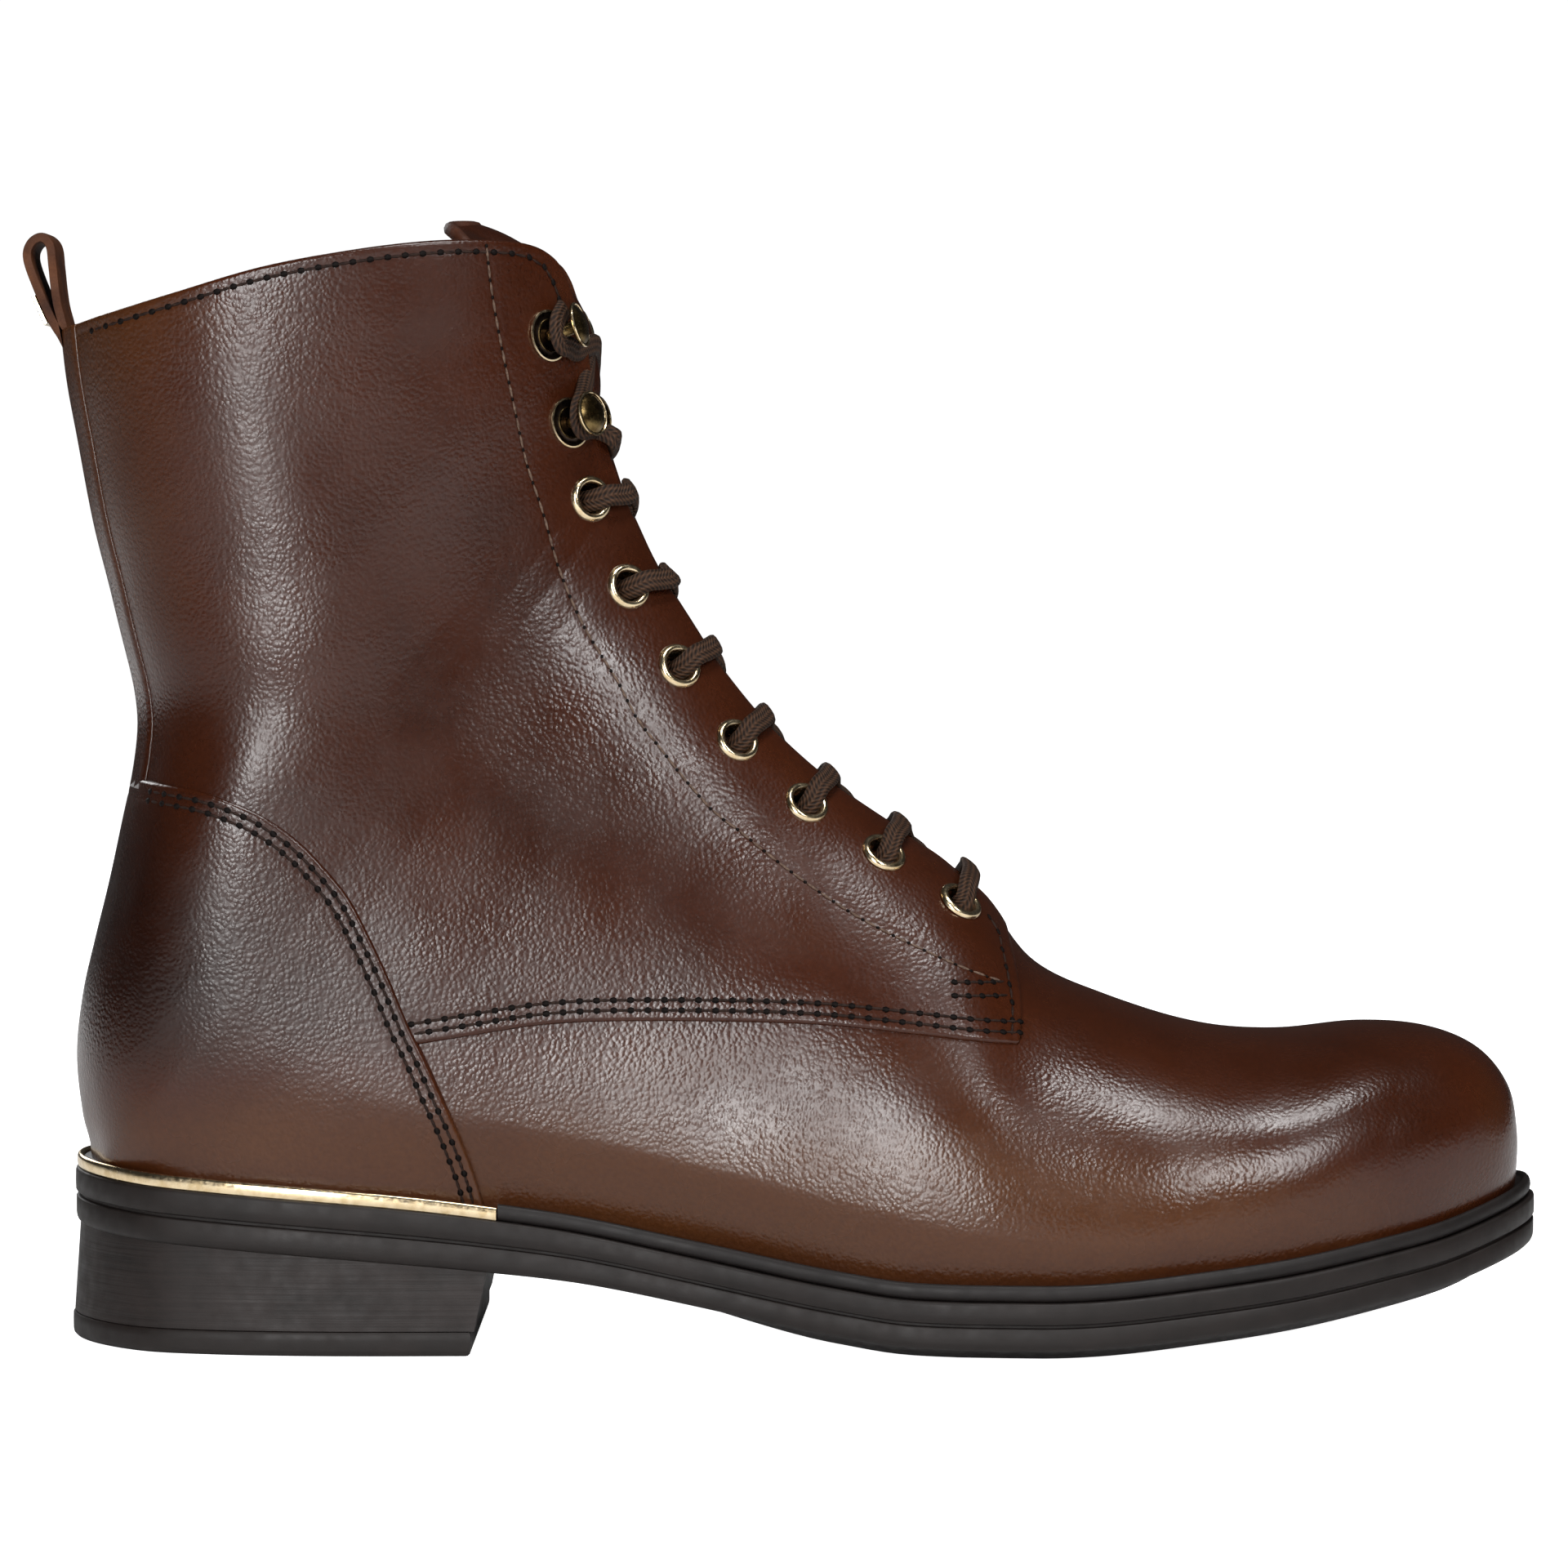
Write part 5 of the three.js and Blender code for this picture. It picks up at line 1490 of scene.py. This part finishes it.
def facing_frame(side, station, margin, out):
    """A point over a facing, its outward way, the way towards the throat and the way along the facing."""
    at, up = facing_place(side, station, margin, out)
    nearer = facing_place(side, station, margin - 0.5, out)[0]
    toward = nearer - at
    toward = unit(toward - up * np.dot(toward, up))
    return at, up, toward, np.cross(up, toward)


def lathe(profile, at, axis, first, second, segments, stretch=1.0, closed=True):
    """A turned body; stretch lengthens it along the second way."""
    turns = np.arange(segments) * 2 * np.pi / segments
    round_way = np.cos(turns)[:, None] * first + stretch * np.sin(turns)[:, None] * second
    rings = [at + radius * round_way + height * axis for radius, height in profile]
    points = np.concatenate(rings)
    faces = ring_faces(segments, len(rings))
    if closed:
        last = (len(rings) - 1) * segments
        faces += [(last + k, last + (k + 1) % segments, (k + 1) % segments, k) for k in range(segments)]
    return points, faces


SEGMENTS = 40


def build_eyelets():
    for side in SIDES:
        for i in range(EYELET_COUNT):
            place = facing_frame(side, i, margin_at(i), QUARTER_STEP)
            node = f"eyelet_{SIDE_NAMES[side]}_{i + 1}"
            ring = lathe(eyelet_profile, *place, SEGMENTS)
            make(f"{node}_ring", *ring, gold, "gold_metal", (node,), crease=50)


head_profile = np.array([
    [0.01, -0.5], [3.6, -0.5], [4.1, -0.35], [4.35, -0.05], [4.3, 0.22], [4.05, 0.3], [3.8, 0.22],
    [3.6, 0.34], [3.2, 0.66], [2.5, 1.02], [1.6, 1.28], [0.7, 1.4], [0.01, 1.42],
])
base_profile = np.array([
    [0.01, 0], [4.2, 0], [4.4, 0.15], [4.3, 0.42], [4.0, 0.5], [3.7, 0.38], [2.9, 0.36], [2.7, 0.5],
    [2.4, 0.55], [2.1, 0.4], [0.01, 0.4],
])
rim_line = np.array([[4.02, 0.4], [4.15, 0.56], [4.42, 0.5], [4.5, 0.24], [4.4, 0.05], [4.1, 0.1]])
inner_line = np.array([[2.5, 0.45], [2.6, 0.62], [2.78, 0.62], [2.88, 0.45]])


def build_hooks():
    for side in SIDES:
        for i, (station, margin, lean, forward) in enumerate(zip(*hook_places.values())):
            node = f"hook_{SIDE_NAMES[side]}_{i + 1}"
            at, up, toward, along = facing_frame(side, station, margin, QUARTER_STEP)
            turn = np.radians(lean)
            axis = np.cos(turn) * up + np.sin(turn) * toward
            level = np.cos(turn) * toward - np.sin(turn) * up
            head = at + up * 4.3 + toward * forward
            neck = flow([at, at + up * 1.7 + toward * 0.1, at + up * 3.2 + toward * 0.55 * forward, head], 6)
            parts = [
                ("base", lathe(base_profile, at, up, toward, along, SEGMENTS, 1.12), dark_metal),
                ("base_rim", lathe(rim_line, at, up, toward, along, SEGMENTS, 1.12), gold),
                ("base_line", lathe(inner_line, at, up, toward, along, SEGMENTS, 1.12), antique),
                ("neck", tube(neck, 1.3), antique),
                ("head", lathe(head_profile, head, axis, level, along, SEGMENTS), antique),
                ("head_rim", lathe(rim_line * [0.97, 0.8], head, axis, level, along, SEGMENTS), gold),
            ]
            for part, shape, look in parts:
                make(f"{node}_{part}", *shape, look, "hook_brass", (node,), crease=50)


# Lace

RIBBON_SIDES = 12


def ribbon(name, path, steps, replaces):
    """A flat-round band along places given as points with outward ways."""
    points = flow([at for at, _ in path], steps)
    ups = flow([up for _, up in path], steps)
    line, along = resample(points, 0.55)
    at_line = np.linspace(0, 1, len(points))
    ups = np.stack([np.interp(np.linspace(0, 1, len(line)), at_line, ups[:, k]) for k in range(3)], 1)
    aside = unit(np.cross(ups, along))
    up = np.cross(along, aside)
    turns = np.arange(RIBBON_SIDES) * 2 * np.pi / RIBBON_SIDES
    flat = np.sign(np.cos(turns)) * np.abs(np.cos(turns)) ** 0.8 * LACE_WIDTH / 2
    thick = np.sign(np.sin(turns)) * np.abs(np.sin(turns)) ** 0.8 * LACE_THICKNESS / 2
    rings = [p + flat[:, None] * a + thick[:, None] * u for p, a, u in zip(line, aside, up)]
    length = np.r_[0, np.cumsum(np.linalg.norm(np.diff(line, axis=0), axis=1))]
    ways = {"along": np.repeat(length, RIBBON_SIDES), "across": np.tile(flat, len(line))}
    make(name, *stack(rings), lace_cord, "lace_cord", replaces, ways)


IN_BORE = -2.6
LACE_OVER = QUARTER_STEP + GAP + LACE_THICKNESS / 2 + 0.25
LACE_ON_EYELET = QUARTER_STEP + 1.0 + LACE_THICKNESS / 2
LACE_UNDER = -WALL - TONGUE_GAP / 2
LACE_CROSS = -0.9
ON_HOOK = QUARTER_STEP + 2.7


lace_drop = cubic(np.arange(EYELET_COUNT), [0.02, 0.1, 0.14, 0.16, 0.2, 0.3, 0.26])


def into_eyelet(side, station):
    """Places from over the facing's edge into an eyelet, rising as the lace comes from below."""
    margin = margin_at(station)
    drop = float(lace_drop(station))
    return [
        facing_place(side, station - 1.1 * drop, 0.5, LACE_OVER + 0.35),
        facing_place(side, station - 0.8 * drop, margin * 0.36, LACE_ON_EYELET + 0.15),
        facing_place(side, station - 0.4 * drop, margin * 0.66, LACE_ON_EYELET + 0.1),
        facing_place(side, station - 0.05, margin - 1.0, 0.6),
        facing_place(side, station, margin + 0.4, IN_BORE),
    ]


def crossing(side, station):
    """From an eyelet of the other side, under its facing, through the throat and over this facing's edge."""
    below = station - 1
    return [
        facing_place(-side, below, margin_at(below), IN_BORE),
        facing_place(-side, below + 0.04, margin_at(below) - 1, LACE_UNDER),
        facing_place(-side, below + 0.24, 2, LACE_UNDER),
        facing_place(-side, below + 0.36, -1.6, LACE_UNDER + 0.2),
        facing_place(side, station - 0.5, -throat_at(station - 0.5), LACE_CROSS - 0.4 * side),
        facing_place(side, station - 0.3, -2.6, LACE_CROSS + 0.9),
    ]


def build_laces():
    for side in SIDES:
        name = SIDE_NAMES[side]
        for station in range(1, EYELET_COUNT):
            path = crossing(side, station) + into_eyelet(side, station)
            ribbon(f"lace_{name}_{station}", path, 12, (f"lace_cross_{station}",))
        ribbon(f"lace_{name}_top", hook_path(side), 12, ("lace_top",))
    bar = into_eyelet(LATERAL, 0)[::-1]
    bar += [facing_place(LATERAL, 0, -throat_at(0), LACE_OVER + 0.2)]
    bar += into_eyelet(MEDIAL, 0)
    ribbon("lace_low_bar", bar, 12, ("lace_bar",))


round_hook = table(
    "station margin rise",
    [-0.3, -7, -2.6],
    [-0.19, -3.6, -1.2],
    [-0.1, -0.7, 0],
    [0.02, 0, 0.2],
    [0.12, -0.7, 0],
    [0.18, -3.6, -1.2],
    [0.2, -7, -2.6],
)


def hook_path(side):
    """From the top eyelet under its facing to the other side's low hook, and back to the high hook."""
    low, top = zip(hook_places["station"], hook_places["margin"])
    start = EYELET_COUNT - 1

    def wrap(hook_side, hook):
        station, margin = hook
        return [
            facing_place(hook_side, station + offset, margin + further, ON_HOOK + rise)
            for offset, further, rise in zip(*round_hook.values())
        ]

    def middle(station):
        return facing_place(side, station, -throat_at(station), -0.5 - 0.5 * side)

    first = crossing(-side, start + 0.72)[:-2]
    first[0] = facing_place(side, start, margin_at(start), IN_BORE)
    cross = [facing_place(-side, low[0] - 0.52, 0.2, LACE_OVER + 0.4)] + wrap(-side, low)[:-1]
    cross += [middle((low[0] + top[0]) / 2)]
    return first + cross + wrap(side, top)[:-1]


# Pull loop

loop_line = [
    [3.2, -8], [2.3, -5], [0.9, -2], [-0.9, 1], [-3.6, 7], [-5.6, 12.8], [-5, 15.7], [-3, 16.9],
    [-1.3, 15.4], [-0.8, 11.5], [-0.4, 7.5], [0.1, 4], [1, 0.5], [1.9, -4],
]
LOOP_PLATE = (13.3, 1.1)


def strap(line, width, thickness, bulge=0.25):
    """A band of leather along a line in the side view, with soft edges."""
    along = unit(np.gradient(line, axis=0))
    out = np.stack([-along[:, 1], along[:, 0]], 1)
    section_rows = []
    for share in np.linspace(-1, 1, 13):
        section_rows.append((share * width / 2, thickness / 2 * (1 - bulge * share**8)))
    rings = []
    for at, way in zip(line, out):
        upper = [[at[0] + way[0] * h, y, at[1] + way[1] * h] for y, h in section_rows]
        lower = [[at[0] - way[0] * h, y, at[1] - way[1] * h] for y, h in reversed(section_rows)]
        rings.append(np.array(upper + lower))
    return stack(rings)


def build_loop():
    back_x, back_z = (float(v) for v in boundary(2.0))
    line = flow([[back_x - COUNTER_STEP + x, back_z + z] for x, z in loop_line], 8)
    points, faces = strap(line, LOOP_WIDTH, LOOP_THICKNESS)
    tone = {"tone": np.full(len(points), 0.15)}
    make("pull_strap", points, faces, strap_leather, "upper_leather", ("pull_loop",), tone, crease=45)
    bar_line = beside(line[24:32], 0.95 * LOOP_THICKNESS / 2 + 0.35)
    make("loop_bar", *strap(bar_line, *LOOP_PLATE, 0.5), gold, "gold_metal", (), crease=45)


build_vamp()
both_quarters = [build_quarter(side) for side in SIDES]
heel_counter = build_counter()
build_strip()
build_lining()
build_seams(both_quarters, heel_counter)
build_plate()
build_strips()
build_heel()
build_insole()
build_tongue()
build_eyelets()
build_hooks()
build_laces()
build_loop()


# Camera, light and floor

PHOTO = 1920
PIXELS_PER_MM = 6.3
DISTANCE = 1050.0
LENS_PIXELS = PIXELS_PER_MM * 1057
CAMERA_X = 136.9
CAMERA_HEIGHT = 160.0
PITCH = np.radians(2.945)
SENSOR = 36.0
AMBIENT = 0.03
FLOOR_GLOW = 1.0
WORLD_GLOW = 1.05
LIGHT_AIM = (0, 0, 0.1)


def build_camera():
    data = bpy.data.cameras.new("camera")
    data.sensor_width = SENSOR
    data.lens = SENSOR * LENS_PIXELS / PHOTO
    data.clip_end = 20
    camera = bpy.data.objects.new("camera", data)
    camera.location = to_frame([CAMERA_X, -DISTANCE, CAMERA_HEIGHT]).tolist()
    camera.location.y = -DISTANCE / 1000
    camera.rotation_euler = (np.pi / 2 - PITCH, 0, 0)
    bpy.context.scene.collection.objects.link(camera)
    bpy.context.scene.camera = camera


def area_light(name, place, size, power):
    data = bpy.data.lights.new(name, "AREA")
    data.shape = "RECTANGLE"
    data.size, data.size_y = size
    data.energy = power
    light = bpy.data.objects.new(name, data)
    light.location = place
    light.rotation_euler = (Vector(LIGHT_AIM) - Vector(place)).to_track_quat("-Z", "Y").to_euler()
    bpy.context.scene.collection.objects.link(light)


def build_stage():
    far = 6.0
    corners = [(-far, -far, 0), (far, -far, 0), (far, far, 0), (-far, far, 0)]
    mesh = bpy.data.meshes.new("floor")
    mesh.from_pydata(corners, [], [(0, 1, 2, 3)])
    n = Nodes("pale_floor")
    shade = n.blend(n.noise(400), (0.93, 0.93, 0.93, 1), (0.95, 0.95, 0.95, 1))
    seen = n.tree.nodes.new("ShaderNodeLightPath").outputs["Is Camera Ray"]
    n.link(n.spread(seen, 0.0, 1.0, AMBIENT, FLOOR_GLOW), n.shader.inputs["Emission Strength"])
    mesh.materials.append(n.finish(shade, 0.85, Emission_Color=(1, 1, 1, 1)))
    floor = bpy.data.objects.new("floor", mesh)
    bpy.context.scene.collection.objects.link(floor)
    world = bpy.data.worlds.new("studio")
    world.use_nodes = True
    tree = world.node_tree
    seen = tree.nodes.new("ShaderNodeLightPath").outputs["Is Camera Ray"]
    share = tree.nodes.new("ShaderNodeMapRange")
    share.inputs["To Min"].default_value = AMBIENT
    share.inputs["To Max"].default_value = WORLD_GLOW
    tree.links.new(seen, share.inputs["Value"])
    background = tree.nodes["Background"]
    background.inputs["Color"].default_value = (1, 1, 1, 1)
    tree.links.new(share.outputs["Result"], background.inputs["Strength"])
    bpy.context.scene.world = world
    bpy.context.scene.view_settings.view_transform = "Standard"


build_camera()
build_stage()
area_light("left_box", (-0.42, -1.5, 0.45), (0.1, 0.8), 15.5)
area_light("right_box", (0.68, -1.15, 0.8), (0.1, 0.6), 9.5)
area_light("top_box", (0.25, -0.4, 1.35), (0.6, 0.22), 12)
area_light("back_box", (-0.7, 1.2, 0.7), (0.8, 0.7), 7)
